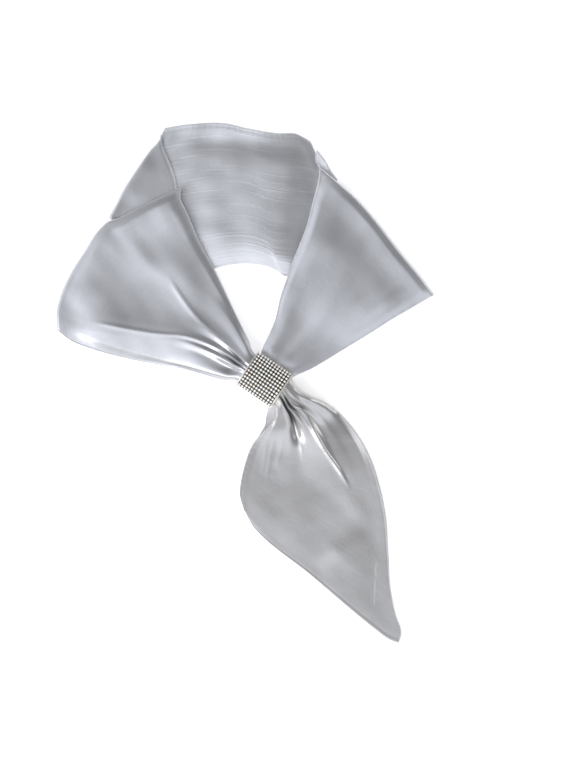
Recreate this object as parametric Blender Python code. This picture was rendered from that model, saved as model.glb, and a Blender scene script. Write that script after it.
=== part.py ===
"""A satin neckerchief drawn through a stone-set scarf ring, laid on a table.

One long strip with slanted ends is folded round into a neck loop. The back of the loop lies on the
table with its inner face up, the strip turns over at both sides, and the two fronts come forward over
it. The left front is gathered into the ring and opens out below it as the front tail. The right front
passes behind the ring and becomes the back tail, which the front tail hides.

The table is the plane z = 0. +Y runs from the tails to the back of the neck, +X to the right front.
Every size is in millimetres until a mesh is made, which is in metres.
"""

import math
from typing import NamedTuple

import bmesh
import bpy
import numpy as np
from mathutils import Matrix

COLLECTION = "neckerchief"
MM = 0.001

# The cloth and the gaps between its stretches.
WALL = 1.2
HALF_WALL = WALL / 2
SEAM_GAP = 0.3
FAR_END_PULL = 1.4

# The scarf ring: a flattened tube that lies over the right front.
RING_CENTRE = (17.0, 3.9)
RING_TURN = math.radians(-34.0)
RING_LENGTH = 38.4
RING_WIDTH = 36.6
RING_HEIGHT = 20.0
RING_LIFT = 4.9
RING_SQUARENESS = 2.6
STONE_COLUMNS = 12
STONE_ROWS = 28
STONE_RISE = 0.8
STONE_BACKING = 0.5
LIP_LENGTH = 1.2
LIP_DROP = 0.3
SLEEVE_WALL = 0.9

# The gathered cloth inside the ring, and the folded cloth under it.
BUNDLE_HALF_WIDTH = 15.0
BUNDLE_HALF_HEIGHT = 5.6
BUNDLE_SQUARENESS = 2.2
UNDER_RING_HALF_HEIGHT = 1.6
UNDER_RING_Z = UNDER_RING_HALF_HEIGHT + HALF_WALL

RING_MIDDLE_Z = RING_LIFT + RING_HEIGHT / 2
AXIS = np.array([math.cos(RING_TURN), math.sin(RING_TURN)])
ACROSS = np.array([math.sin(RING_TURN), -math.cos(RING_TURN)])

SATIN = (0.62, 0.62, 0.65)
SATIN_INSIDE = (0.66, 0.67, 0.71)
METAL = (0.80, 0.78, 0.72)
CRYSTAL = (0.86, 0.85, 0.82)


class Pleat(NamedTuple):
    """One crest or valley of a gather: its place across the strip at the ring and at the far end."""

    at_ring: float
    far_off: float
    height: float
    reach: float


class Hump(NamedTuple):
    """A soft rise or hollow: its middle and spread in shares of the stretch, and its height."""

    along: float
    across: float
    spread_along: float
    spread_across: float
    height: float


class Turn(NamedTuple):
    """A rolled fold at a stretch's far end: its radius, its rise over the fold line, and its fade."""

    radius: float
    rise: float
    fade: float
    floor: list


class Gather(NamedTuple):
    """How a stretch closes up at the ring: half its bundle's height and how far out it has opened."""

    half_height: float
    opens_over: float
    pleat_start: float
    pleats: list


class Stretch(NamedTuple):
    """A stretch of the strip between its near end, its far end and its two sewn edges.

    Each is a short list of (x, y, z) points of the wall's middle. The edges run from the near end to the
    far end, and the ends run from the first edge to the second. hidden is the length in or under the ring,
    which is where an edge's second point lies.
    """

    near_end: list
    far_end: list
    first_edge: list
    second_edge: list
    length: float
    hidden: float = 0.0


def ring_point(along, across, z=RING_MIDDLE_Z):
    """A point given along the ring's axis and across it from the ring's middle."""
    x, y = np.array(RING_CENTRE) + along * AXIS + across * ACROSS
    return (x, y, z)


def even(count):
    """Evenly spaced shares from 0 to 1."""
    return np.linspace(0.0, 1.0, count)


def smooth_step(share):
    """0 below 0, 1 above 1, and a smooth rise between."""
    share = np.clip(share, 0.0, 1.0)
    return share * share * (3 - 2 * share)


def smooth_curve(points, first_share=None):
    """A smooth line through the points, as a function of its share of length from 0 to 1.

    first_share is the share at which the second point lies, where it isn't in proportion to the length.
    """
    points = np.array(points, float)
    gaps = np.linalg.norm(np.diff(points, axis=0), axis=1)
    knots = np.concatenate([[0.0], np.cumsum(gaps)]) / gaps.sum()
    if first_share:
        knots[1:] = first_share + (1 - first_share) * (knots[1:] - knots[1]) / (1 - knots[1])
    slopes = np.gradient(points, knots, axis=0)
    if first_share:
        slopes[0] = slopes[1] = (points[1] - points[0]) / first_share

    def at(share):
        share = np.clip(np.asarray(share, float), 0.0, 1.0)
        left = np.clip(np.searchsorted(knots, share, side="right") - 1, 0, len(knots) - 2)
        span = (knots[left + 1] - knots[left])[..., None]
        t = (share - knots[left])[..., None] / span
        start_weight = 2 * t**3 - 3 * t**2 + 1
        end_weight = 3 * t**2 - 2 * t**3
        bend = (t**3 - 2 * t**2 + t) * slopes[left] + (t**3 - t**2) * slopes[left + 1]
        return start_weight * points[left] + end_weight * points[left + 1] + span * bend

    return at


def patch(stretch):
    """The smooth surface between a stretch's four curves, as a function of shares along and across.

    Up to the ring's mouth the surface runs straight along the ring.
    """
    mouth = stretch.hidden / stretch.length
    near, far = smooth_curve(stretch.near_end), smooth_curve(stretch.far_end)
    first = smooth_curve(stretch.first_edge, mouth)
    second = smooth_curve(stretch.second_edge, mouth)

    def at(u, v):
        u, v = np.broadcast_arrays(u, v)
        along = (np.maximum(u - mouth, 0.0) / (1 - mouth)) ** (FAR_END_PULL if mouth else 1.0)
        s, t = along[..., None], v[..., None]
        by_edges = (1 - t) * first(u) + t * second(u)
        by_ends = (1 - s) * near(v) + s * far(v)
        corners = (1 - s) * ((1 - t) * near(0.0) + t * near(1.0)) + s * ((1 - t) * far(0.0) + t * far(1.0))
        return by_edges + by_ends - corners

    return at


def hump_heights(humps, u, v):
    """The summed height of soft humps over a stretch."""
    height = np.zeros(np.broadcast(u, v).shape)
    for hump in humps:
        off = ((u - hump.along) / hump.spread_along) ** 2 + ((v - hump.across) / hump.spread_across) ** 2
        height += hump.height * np.exp(-off)
    return height


def pleat_columns(gather, distance, length, per_pleat):
    """Where each column of a gather runs across the strip, and how high, this far from the ring's mouth.

    The columns follow the crests and valleys, so each fold is a line of the mesh.
    """
    spread = smooth_step(distance / length)
    grown = 0.25 + 0.75 * smooth_step(distance / gather.pleat_start)
    beyond = np.maximum(distance - gather.pleat_start, 0.0)
    stops = [p.at_ring + (p.far_off - p.at_ring) * spread for p in gather.pleats]
    heights = [p.height * grown * np.exp(-((beyond / p.reach) ** 1.5)) for p in gather.pleats]
    across, lift = [], []
    for i in range(len(stops) - 1):
        for step in range(per_pleat):
            share = step / per_pleat
            across.append(stops[i] + (stops[i + 1] - stops[i]) * share)
            lift.append(heights[i] + (heights[i + 1] - heights[i]) * smooth_step(share))
    across.append(stops[-1])
    lift.append(heights[-1])
    return np.stack(across, axis=-1), np.stack(lift, axis=-1)


def rolled_end(surface, turn, v):
    """The last rows of a stretch, from the start of its turned fold over and round to its underside."""
    reach = np.linalg.norm(surface(0.85, v)[..., :2] - surface(1.0, v)[..., :2], axis=-1) / 0.15
    fold_z = surface(1.0, v)[..., 2]
    shares, floors = zip(*turn.floor)
    drop = fold_z - np.interp(v, shares, floors)
    us, rows = [], []
    for angle in np.radians([90, 60, 30, 0, -30, -60, -90]):
        u = 1 - (HALF_WALL + turn.radius * (1 - math.cos(angle))) / reach
        row = surface(u, v)
        row[..., 2] = fold_z + math.sin(angle) * (turn.rise if angle > 0 else drop)
        us.append(u)
        rows.append(row)
    return us, rows


def surface_normals(grid):
    """Unit normals of a grid of points, pointing up where the grid lies face up."""
    along = np.gradient(grid, axis=0)
    across = np.gradient(grid, axis=1)
    normal = np.cross(across, along)
    normal /= np.linalg.norm(normal, axis=2, keepdims=True)
    return normal if normal[len(grid) // 2, grid.shape[1] // 2, 2] > 0 else -normal


def upright_at_ring(normal, near):
    """Turns a stretch's normals upright as it nears the ring, so the bundle stands square in it."""
    turned = normal * (1 - near)[..., None] + np.array([0.0, 0.0, 1.0]) * near[..., None]
    return turned / np.linalg.norm(turned, axis=2, keepdims=True)


def bundle_half_height(v, peak):
    """Half the height of a gathered bundle across the strip: full in the middle, none at the edges."""
    return peak * np.maximum(1 - np.abs(2 * v - 1) ** BUNDLE_SQUARENESS, 0.0) ** (1 / BUNDLE_SQUARENESS)


def settle_on_table(outer, inner):
    """Keeps a wall's two sides above the table: the lower one lies flat on it, the upper keeps its wall."""
    outer, inner = outer.copy(), inner.copy()
    face_up = outer[..., 2] >= inner[..., 2]
    wall = np.minimum(np.abs(outer[..., 2] - inner[..., 2]), WALL)
    lower = np.maximum(np.where(face_up, inner[..., 2], outer[..., 2]), 0.0)
    upper = np.maximum(np.where(face_up, outer[..., 2], inner[..., 2]), lower + wall)
    outer[..., 2] = np.where(face_up, upper, lower)
    inner[..., 2] = np.where(face_up, lower, upper)
    return outer, inner


def wall_between(name, outer, inner, colour):
    """A closed cloth wall between two grids of points."""
    outer, inner = settle_on_table(outer, inner)
    rows, columns = outer.shape[:2]
    bm = bmesh.new()
    upper = [[bm.verts.new(p * MM) for p in row] for row in outer]
    lower = [[bm.verts.new(p * MM) for p in row] for row in inner]
    for i in range(rows - 1):
        for j in range(columns - 1):
            bm.faces.new((upper[i][j], upper[i][j + 1], upper[i + 1][j + 1], upper[i + 1][j]))
            bm.faces.new((lower[i][j], lower[i + 1][j], lower[i + 1][j + 1], lower[i][j + 1]))
    rim = [(i, 0) for i in range(rows)] + [(rows - 1, j) for j in range(1, columns)]
    rim += [(i, columns - 1) for i in range(rows - 2, -1, -1)] + [(0, j) for j in range(columns - 2, 0, -1)]
    for (i, j), (k, m) in zip(rim, rim[1:] + rim[:1]):
        bm.faces.new((upper[i][j], upper[k][m], lower[k][m], lower[i][j]))
    bmesh.ops.recalc_face_normals(bm, faces=bm.faces)
    return add_object(name, bm, colour, 0.35, 0.0)


def add_object(name, bm, colour, roughness, metallic):
    """Puts a finished bmesh in the part's collection with a material of its own."""
    mesh = bpy.data.meshes.new(name)
    bm.to_mesh(mesh)
    bm.free()
    obj = bpy.data.objects.new(name, mesh)
    bpy.data.collections[COLLECTION].objects.link(obj)
    material = bpy.data.materials.new(name)
    material.use_nodes = True
    shader = material.node_tree.nodes["Principled BSDF"]
    shader.inputs["Base Color"].default_value = (*colour, 1.0)
    shader.inputs["Roughness"].default_value = roughness
    shader.inputs["Metallic"].default_value = metallic
    mesh.materials.append(material)
    mesh.shade_smooth()
    mesh.set_sharp_from_angle(angle=math.radians(40))
    return obj


# --- The back of the neck loop ------------------------------------------------------------------

BACK_FLAT_FROM = 0.22
BACK = Stretch(
    near_end=[
        (-74.5, 234.2, 0.6),
        (-92.5, 195.0, 0.6),
        (-115.0, 157.5, 0.6),
        (-141.0, 119.0, 0.6),
        (-160.0, 84.0, 0.6),
        (-164.5, 57.0, 0.6),
    ],
    far_end=[
        (59.2, 222.0, 0.6),
        (78.5, 183.0, 0.6),
        (106.0, 154.0, 0.6),
        (134.0, 120.0, 0.6),
        (163.5, 84.5, 0.6),
    ],
    first_edge=[
        (-74.5, 234.2, 0.6),
        (-62.0, 236.3, 2.2),
        (-46.0, 238.0, 4.2),
        (-22.0, 238.6, 4.6),
        (2.0, 233.7, 4.4),
        (29.0, 229.2, 4.0),
        (46.0, 228.8, 2.6),
        (53.0, 225.6, 1.2),
        (59.2, 222.0, 0.6),
    ],
    second_edge=[
        (-164.5, 57.0, 0.6),
        (-132.0, 74.0, 0.6),
        (-90.0, 91.0, 0.6),
        (-50.0, 102.0, 0.6),
        (-30.0, 105.2, 0.6),
        (-14.6, 108.6, 0.6),
        (3.7, 109.9, 0.6),
        (20.0, 107.2, 0.6),
        (28.5, 103.2, 0.6),
        (34.0, 98.9, 0.6),
        (42.0, 97.6, 0.6),
        (90.0, 93.0, 0.6),
        (163.5, 84.5, 0.6),
    ],
    length=300.0,
)


def build_back_band():
    """The stretch behind the neck: flat on the table, its top edge lifting a little."""
    u, v = np.meshgrid(even(23), even(12) ** 1.2, indexing="ij")
    grid = patch(BACK)(u, v)
    lifted = np.maximum(grid[..., 2] - HALF_WALL, 0.0)
    grid[..., 2] = HALF_WALL + lifted * (1 - smooth_step(v / BACK_FLAT_FROM))
    outer, inner = grid.copy(), grid.copy()
    outer[..., 2] += HALF_WALL
    inner[..., 2] -= HALF_WALL
    return wall_between("back_band", outer, inner, SATIN_INSIDE)


# --- The turned edges where the strip comes forward ----------------------------------------------

LEFT_TURN = Stretch(
    near_end=[
        (-56.0, 168.0, 2.2),
        (-85.0, 156.0, 2.2),
        (-113.0, 143.0, 2.2),
    ],
    far_end=[
        (-76.9, 234.4, 3.6),
        (-79.0, 224.0, 3.6),
        (-88.0, 213.0, 3.6),
        (-100.0, 196.0, 3.6),
        (-112.0, 177.5, 3.6),
        (-120.5, 161.0, 3.6),
        (-125.5, 152.5, 3.4),
    ],
    first_edge=[
        (-56.0, 168.0, 2.2),
        (-59.0, 176.0, 2.3),
        (-61.5, 190.0, 2.5),
        (-66.8, 205.1, 3.0),
        (-74.2, 221.6, 3.4),
        (-76.9, 234.4, 3.6),
    ],
    second_edge=[
        (-113.0, 143.0, 2.2),
        (-119.5, 147.5, 2.6),
        (-125.5, 152.5, 3.4),
    ],
    length=50.0,
)
LEFT_TURN_ROLL = Turn(
    radius=3.0,
    rise=2.0,
    fade=0.5,
    floor=[(0.0, 2.4), (0.25, 2.2), (0.4, 0.9), (1.0, 0.9)],
)

RIGHT_TURN = Stretch(
    near_end=[
        (67.0, 192.0, 2.2),
        (73.0, 186.0, 2.2),
        (80.0, 180.5, 2.2),
    ],
    far_end=[
        (62.3, 217.0, 3.0),
        (70.5, 206.9, 2.8),
        (78.5, 194.0, 2.8),
        (84.0, 186.5, 2.6),
    ],
    first_edge=[
        (67.0, 192.0, 2.2),
        (64.5, 201.0, 2.5),
        (61.6, 207.0, 2.8),
        (62.3, 217.0, 3.0),
    ],
    second_edge=[
        (80.0, 180.5, 2.2),
        (82.0, 183.0, 2.4),
        (84.0, 186.5, 2.6),
    ],
    length=14.0,
)
RIGHT_TURN_ROLL = Turn(radius=1.8, rise=0.9, fade=0.4, floor=[(0.0, 2.2), (0.4, 2.1), (1.0, 2.0)])


def build_turn(name, stretch, roll, skipped_corner, rows, columns):
    """A short stretch that turns over at one side of the neck and dives under that side's front."""
    surface = patch(stretch)
    v = skipped_corner + (1 - skipped_corner) * even(columns)
    us, grid = plain_rows(surface, roll, v, rows)
    end_us, end_rows = rolled_end(surface, roll, v)
    grid = np.array(grid + end_rows)
    normal = surface_normals(grid)
    return wall_between(name, grid + normal * HALF_WALL, grid - normal * HALF_WALL, SATIN)


def plain_rows(surface, roll, v, rows):
    """The rows of a stretch from its near end up to the start of its rolled fold."""
    reach = np.linalg.norm(surface(0.85, v)[..., :2] - surface(1.0, v)[..., :2], axis=-1) / 0.15
    last = 1 - (roll.radius + HALF_WALL) / reach
    us, grid = [], []
    for share in even(rows + 1)[:-1]:
        u = last * share
        row = surface(u, v)
        row[..., 2] += roll.rise * smooth_step(1 - (1 - u) / roll.fade)
        us.append(u)
        grid.append(row)
    return us, grid


# --- The gathered fronts and tails ---------------------------------------------------------------


def build_gathered(name, stretch, gather, humps, rows, per_pleat, roll=None, edge_lift=0.0):
    """A stretch that opens out from the ring: one bundle in the ring, a plain pleated wall farther off.

    edge_lift raises the wall inside its sewn edges, to clear what lies beneath.
    """
    surface = patch(stretch)
    us, points, lifts, distances, columns = [], [], [], [], []
    for share in even(rows) ** 1.15:
        distance = max(share * stretch.length - stretch.hidden, 0.0)
        v, lift = pleat_columns(gather, distance, stretch.length - stretch.hidden, per_pleat)
        if roll:
            reach = np.linalg.norm(surface(0.85, v)[..., :2] - surface(1.0, v)[..., :2], axis=-1) / 0.15
            u = share * (1 - (roll.radius + HALF_WALL) / reach)
        else:
            u = np.full_like(v, share)
        row = surface(u, v)
        if roll:
            row[..., 2] += roll.rise * smooth_step(1 - (1 - u) / roll.fade)
        us.append(u)
        points.append(row)
        lifts.append(lift)
        distances.append(np.full_like(v, distance))
        columns.append(v)
    if roll:
        v, lift = columns[-1], lifts[-1]
        end_us, end_rows = rolled_end(surface, roll, v)
        us += end_us[1:]
        points += end_rows[1:]
        lifts += [lift * 0.0] * 6
        distances += [distances[-1]] * 6
        columns += [v] * 6
    u, v, grid, lift, distance = map(np.array, (us, columns, points, lifts, distances))
    far_fade = smooth_step((1 - u) / 0.08)
    out_of_ring = smooth_step(distance / 12.0)
    from_edge = np.minimum(v, 1 - v)
    clear_of_cloth_below = edge_lift * smooth_step(from_edge / 0.05) * smooth_step((1 - u) / 0.06)
    grid[..., 2] += (hump_heights(humps, u, v) * far_fade + clear_of_cloth_below) * out_of_ring
    near = np.exp(-((distance / gather.opens_over) ** 2))
    body = near * bundle_half_height(v, gather.half_height)
    lift = lift * far_fade
    normal = upright_at_ring(surface_normals(grid), near)
    outer = grid + normal * (HALF_WALL + body + lift)[..., None]
    inner = grid + normal * (lift * (1 - near) - HALF_WALL - body)[..., None]
    return wall_between(name, outer, inner, SATIN)


LEFT_FRONT = Stretch(
    near_end=[ring_point(-SEAM_GAP / 2, w) for w in (-BUNDLE_HALF_WIDTH, 0.0, BUNDLE_HALF_WIDTH)],
    far_end=[
        (-58.6, 179.4, 6.8),
        (-78.7, 170.3, 6.8),
        (-101.6, 159.0, 6.6),
        (-117.0, 151.5, 6.0),
        (-125.5, 148.5, 5.2),
        (-134.6, 140.6, 4.6),
        (-146.8, 122.0, 4.2),
        (-159.0, 103.0, 4.2),
        (-168.0, 84.5, 4.2),
        (-173.0, 66.0, 3.8),
        (-172.5, 49.5, 2.4),
    ],
    first_edge=[
        ring_point(-SEAM_GAP / 2, -BUNDLE_HALF_WIDTH),
        ring_point(-RING_LENGTH / 2, -BUNDLE_HALF_WIDTH),
        (2.0, 41.0, 11.0),
        (-6.4, 58.6, 7.5),
        (-15.6, 78.0, 5.4),
        (-29.3, 106.2, 4.4),
        (-43.0, 131.8, 4.4),
        (-53.1, 155.6, 5.2),
        (-59.5, 170.5, 6.4),
        (-58.6, 179.4, 6.8),
    ],
    second_edge=[
        ring_point(-SEAM_GAP / 2, BUNDLE_HALF_WIDTH),
        ring_point(-RING_LENGTH / 2, BUNDLE_HALF_WIDTH),
        (-20.1, 3.7, 10.4),
        (-37.5, 8.2, 6.4),
        (-55.8, 12.8, 3.2),
        (-78.7, 17.4, 1.4),
        (-103.5, 22.0, 0.7),
        (-138.2, 31.1, 0.6),
        (-161.1, 40.3, 1.0),
        (-172.5, 49.5, 2.4),
    ],
    length=205.0,
    hidden=RING_LENGTH / 2,
)
LEFT_FRONT_ROLL = Turn(
    radius=4.0,
    rise=3.0,
    fade=0.7,
    floor=[(0.0, 4.9), (0.36, 4.7), (0.5, 1.4), (0.56, 0.6), (1.0, 0.6)],
)
LEFT_FRONT_GATHER = Gather(
    half_height=BUNDLE_HALF_HEIGHT,
    opens_over=26.0,
    pleat_start=14.0,
    pleats=[
        Pleat(at_ring=0.00, far_off=0.00, height=-1.0, reach=60.0),
        Pleat(at_ring=0.10, far_off=0.30, height=2.0, reach=110.0),
        Pleat(at_ring=0.26, far_off=0.50, height=0.6, reach=60.0),
        Pleat(at_ring=0.36, far_off=0.66, height=0.6, reach=60.0),
        Pleat(at_ring=0.44, far_off=0.80, height=-4.6, reach=50.0),
        Pleat(at_ring=0.50, far_off=0.88, height=2.4, reach=90.0),
        Pleat(at_ring=0.56, far_off=0.915, height=-3.2, reach=40.0),
        Pleat(at_ring=0.61, far_off=0.94, height=2.0, reach=50.0),
        Pleat(at_ring=0.80, far_off=0.97, height=0.6, reach=50.0),
        Pleat(at_ring=1.00, far_off=1.00, height=-1.0, reach=40.0),
    ],
)
LEFT_FRONT_HUMPS = [
    Hump(along=0.90, across=0.75, spread_along=0.12, spread_across=0.30, height=2.0),
    Hump(along=0.70, across=0.40, spread_along=0.22, spread_across=0.14, height=3.6),
    Hump(along=0.58, across=0.68, spread_along=0.20, spread_across=0.14, height=-2.4),
    Hump(along=0.48, across=0.86, spread_along=0.25, spread_across=0.08, height=4.2),
]

UNDER_RING_LEFT = (14.8, -1.0)
UNDER_RING_RIGHT = (40.0, 3.0)


def under_ring_end(forward):
    """The line across the folded cloth beneath the ring, moved forward or back to leave the seam's gap."""
    step = forward * SEAM_GAP / 2
    return [
        (x, y - step, UNDER_RING_Z)
        for x, y in (
            UNDER_RING_LEFT,
            ((UNDER_RING_LEFT[0] + UNDER_RING_RIGHT[0]) / 2, (UNDER_RING_LEFT[1] + UNDER_RING_RIGHT[1]) / 2),
            UNDER_RING_RIGHT,
        )
    ]


RIGHT_FRONT = Stretch(
    near_end=under_ring_end(-1),
    far_end=[
        (67.7, 197.7, 6.8),
        (84.2, 184.0, 6.2),
        (98.9, 171.5, 4.8),
        (112.6, 157.0, 4.2),
        (124.8, 142.0, 4.2),
        (138.2, 124.5, 4.2),
        (151.1, 108.5, 4.2),
        (163.0, 94.0, 3.8),
        (172.4, 81.5, 2.2),
    ],
    first_edge=[
        under_ring_end(-1)[0],
        (13.6, 14.0, UNDER_RING_Z),
        (13.2, 26.0, 3.0),
        (15.5, 33.5, 4.2),
        (19.2, 41.5, 4.8),
        (26.5, 58.6, 5.2),
        (32.0, 81.5, 4.8),
        (38.5, 99.8, 4.4),
        (43.0, 112.6, 4.2),
        (54.9, 142.8, 4.2),
        (62.0, 170.0, 4.6),
        (65.9, 184.9, 6.0),
        (67.7, 197.7, 6.8),
    ],
    second_edge=[
        under_ring_end(-1)[2],
        (42.6, 6.0, UNDER_RING_Z),
        (48.0, 8.8, 2.6),
        (57.7, 12.8, 2.2),
        (73.2, 21.5, 1.4),
        (88.8, 31.1, 0.9),
        (103.5, 40.0, 0.6),
        (119.0, 49.6, 0.6),
        (132.7, 58.4, 0.6),
        (149.0, 67.9, 0.6),
        (162.0, 75.5, 1.0),
        (172.4, 81.5, 2.2),
    ],
    length=180.0,
    hidden=RING_LENGTH / 2,
)
RIGHT_FRONT_ROLL = Turn(
    radius=4.0,
    rise=2.6,
    fade=0.7,
    floor=[(0.0, 5.2), (0.17, 5.0), (0.25, 1.2), (0.3, 0.6), (1.0, 0.6)],
)
RIGHT_FRONT_GATHER = Gather(
    half_height=UNDER_RING_HALF_HEIGHT,
    opens_over=16.0,
    pleat_start=18.0,
    pleats=[
        Pleat(at_ring=0.00, far_off=0.00, height=-0.4, reach=60.0),
        Pleat(at_ring=0.18, far_off=0.20, height=1.2, reach=60.0),
        Pleat(at_ring=0.40, far_off=0.42, height=-0.4, reach=50.0),
        Pleat(at_ring=0.60, far_off=0.60, height=1.4, reach=60.0),
        Pleat(at_ring=0.80, far_off=0.80, height=0.2, reach=50.0),
        Pleat(at_ring=1.00, far_off=1.00, height=-0.2, reach=40.0),
    ],
)
RIGHT_FRONT_HUMPS = [
    Hump(along=0.45, across=0.50, spread_along=0.22, spread_across=0.34, height=3.4),
    Hump(along=0.80, across=0.62, spread_along=0.14, spread_across=0.30, height=2.0),
]

FRONT_TAIL = Stretch(
    near_end=[ring_point(SEAM_GAP / 2, w) for w in (BUNDLE_HALF_WIDTH, 0.0, -BUNDLE_HALF_WIDTH)],
    far_end=[
        (-1.8, -115.4, 0.6),
        (7.5, -131.5, 0.6),
        (18.3, -142.8, 0.6),
        (29.3, -152.0, 0.6),
        (54.0, -170.8, 0.6),
        (75.1, -188.6, 0.6),
        (96.1, -206.6, 0.6),
        (119.0, -225.2, 0.6),
        (130.5, -233.6, 0.6),
        (139.6, -237.2, 0.6),
    ],
    first_edge=[
        ring_point(SEAM_GAP / 2, BUNDLE_HALF_WIDTH),
        ring_point(RING_LENGTH / 2, BUNDLE_HALF_WIDTH),
        (27.0, -28.0, 11.4),
        (22.9, -37.0, 8.6),
        (14.6, -45.1, 5.6),
        (7.7, -52.6, 3.6),
        (3.0, -61.0, 2.2),
        (0.0, -69.6, 1.4),
        (-4.4, -87.0, 0.8),
        (-5.8, -101.0, 0.6),
        (-1.8, -115.4, 0.6),
    ],
    second_edge=[
        ring_point(SEAM_GAP / 2, -BUNDLE_HALF_WIDTH),
        ring_point(RING_LENGTH / 2, -BUNDLE_HALF_WIDTH),
        (47.6, -2.8, 11.6),
        (57.0, -9.8, 8.0),
        (69.4, -15.2, 5.4),
        (82.4, -23.8, 3.4),
        (92.0, -33.2, 2.2),
        (105.3, -51.0, 1.2),
        (115.0, -70.0, 0.8),
        (122.6, -94.0, 0.6),
        (128.2, -122.0, 0.6),
        (130.4, -155.0, 0.6),
        (132.7, -188.6, 0.6),
        (137.0, -210.0, 0.6),
        (142.2, -229.0, 0.6),
        (139.6, -237.2, 0.6),
    ],
    length=200.0,
    hidden=RING_LENGTH / 2,
)
FRONT_TAIL_GATHER = Gather(
    half_height=BUNDLE_HALF_HEIGHT,
    opens_over=26.0,
    pleat_start=16.0,
    pleats=[
        Pleat(at_ring=0.00, far_off=0.00, height=-1.0, reach=40.0),
        Pleat(at_ring=0.10, far_off=0.07, height=0.8, reach=40.0),
        Pleat(at_ring=0.28, far_off=0.36, height=1.8, reach=44.0),
        Pleat(at_ring=0.35, far_off=0.46, height=-3.4, reach=42.0),
        Pleat(at_ring=0.41, far_off=0.56, height=1.6, reach=60.0),
        Pleat(at_ring=0.47, far_off=0.72, height=-0.6, reach=50.0),
        Pleat(at_ring=0.52, far_off=0.90, height=3.2, reach=80.0),
        Pleat(at_ring=0.57, far_off=0.94, height=-3.6, reach=55.0),
        Pleat(at_ring=0.72, far_off=0.965, height=1.4, reach=45.0),
        Pleat(at_ring=0.88, far_off=0.985, height=0.4, reach=40.0),
        Pleat(at_ring=1.00, far_off=1.00, height=-1.0, reach=30.0),
    ],
)
FRONT_TAIL_HUMPS = [
    Hump(along=0.30, across=0.50, spread_along=0.20, spread_across=0.34, height=4.5),
    Hump(along=0.62, across=0.35, spread_along=0.22, spread_across=0.22, height=2.4),
    Hump(along=0.66, across=0.75, spread_along=0.14, spread_across=0.16, height=2.6),
]

BACK_TAIL = Stretch(
    near_end=under_ring_end(1),
    far_end=[
        (6.0, -112.0, 0.6),
        (20.0, -128.0, 0.6),
        (45.0, -147.5, 0.6),
        (70.0, -167.5, 0.6),
        (95.0, -187.5, 0.6),
        (118.0, -205.0, 0.6),
    ],
    first_edge=[
        under_ring_end(1)[0],
        (16.8, -13.0, UNDER_RING_Z),
        (19.6, -23.5, 1.8),
        (18.2, -31.1, 1.4),
        (17.4, -37.0, 1.1),
        (13.4, -44.5, 0.9),
        (9.0, -52.0, 0.7),
        (8.0, -62.0, 0.6),
        (5.0, -76.0, 0.6),
        (2.6, -90.0, 0.6),
        (2.4, -101.0, 0.6),
        (6.0, -112.0, 0.6),
    ],
    second_edge=[
        under_ring_end(1)[2],
        (43.0, -5.0, UNDER_RING_Z),
        (51.0, -13.5, 1.7),
        (63.0, -22.0, 1.2),
        (76.0, -32.0, 0.8),
        (88.0, -44.5, 0.6),
        (99.0, -62.0, 0.6),
        (107.0, -82.0, 0.6),
        (113.0, -103.0, 0.6),
        (118.0, -132.0, 0.6),
        (120.0, -168.0, 0.6),
        (118.0, -205.0, 0.6),
    ],
    length=170.0,
    hidden=RING_LENGTH / 2,
)
BACK_TAIL_GATHER = Gather(
    half_height=UNDER_RING_HALF_HEIGHT,
    opens_over=24.0,
    pleat_start=18.0,
    pleats=[
        Pleat(at_ring=0.00, far_off=0.00, height=0.0, reach=30.0),
        Pleat(at_ring=0.25, far_off=0.25, height=0.5, reach=30.0),
        Pleat(at_ring=0.50, far_off=0.50, height=-0.4, reach=30.0),
        Pleat(at_ring=0.75, far_off=0.75, height=0.5, reach=30.0),
        Pleat(at_ring=1.00, far_off=1.00, height=0.0, reach=30.0),
    ],
)

# --- The scarf ring ------------------------------------------------------------------------------


def ring_section(half_width, half_height, count):
    """Points across and up, at even spacing round one of the ring's flattened sections."""
    angle = np.linspace(0.0, 2 * math.pi, 1441)
    power = 2 / RING_SQUARENESS
    across = half_width * np.sign(np.cos(angle)) * np.abs(np.cos(angle)) ** power
    up = half_height * np.sign(np.sin(angle)) * np.abs(np.sin(angle)) ** power
    way = np.concatenate([[0.0], np.cumsum(np.hypot(np.diff(across), np.diff(up)))])
    stops = way[-1] * (np.arange(count) + 0.5) / count
    return np.interp(stops, way, across), np.interp(stops, way, up)


def ring_loop(bm, along, inset):
    """A loop of vertices round the ring at this place along it, this far inside the stones' tips."""
    across, up = ring_section(RING_WIDTH / 2 - inset, RING_HEIGHT / 2 - inset, STONE_ROWS)
    points = [ring_point(along, a, RING_MIDDLE_Z + z) for a, z in zip(across, up)]
    return [bm.verts.new(np.array(p) * MM) for p in points]


def join_loops(bm, first, second):
    """Quads between two loops of vertices."""
    for i in range(len(first)):
        j = (i + 1) % len(first)
        bm.faces.new((first[i], first[j], second[j], second[i]))


STONE_FLOOR = STONE_RISE
BAND_INSIDE = STONE_FLOOR + STONE_BACKING
SLEEVE_OUTSIDE = BAND_INSIDE + SEAM_GAP
SLEEVE_INSIDE = SLEEVE_OUTSIDE + SLEEVE_WALL


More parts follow.
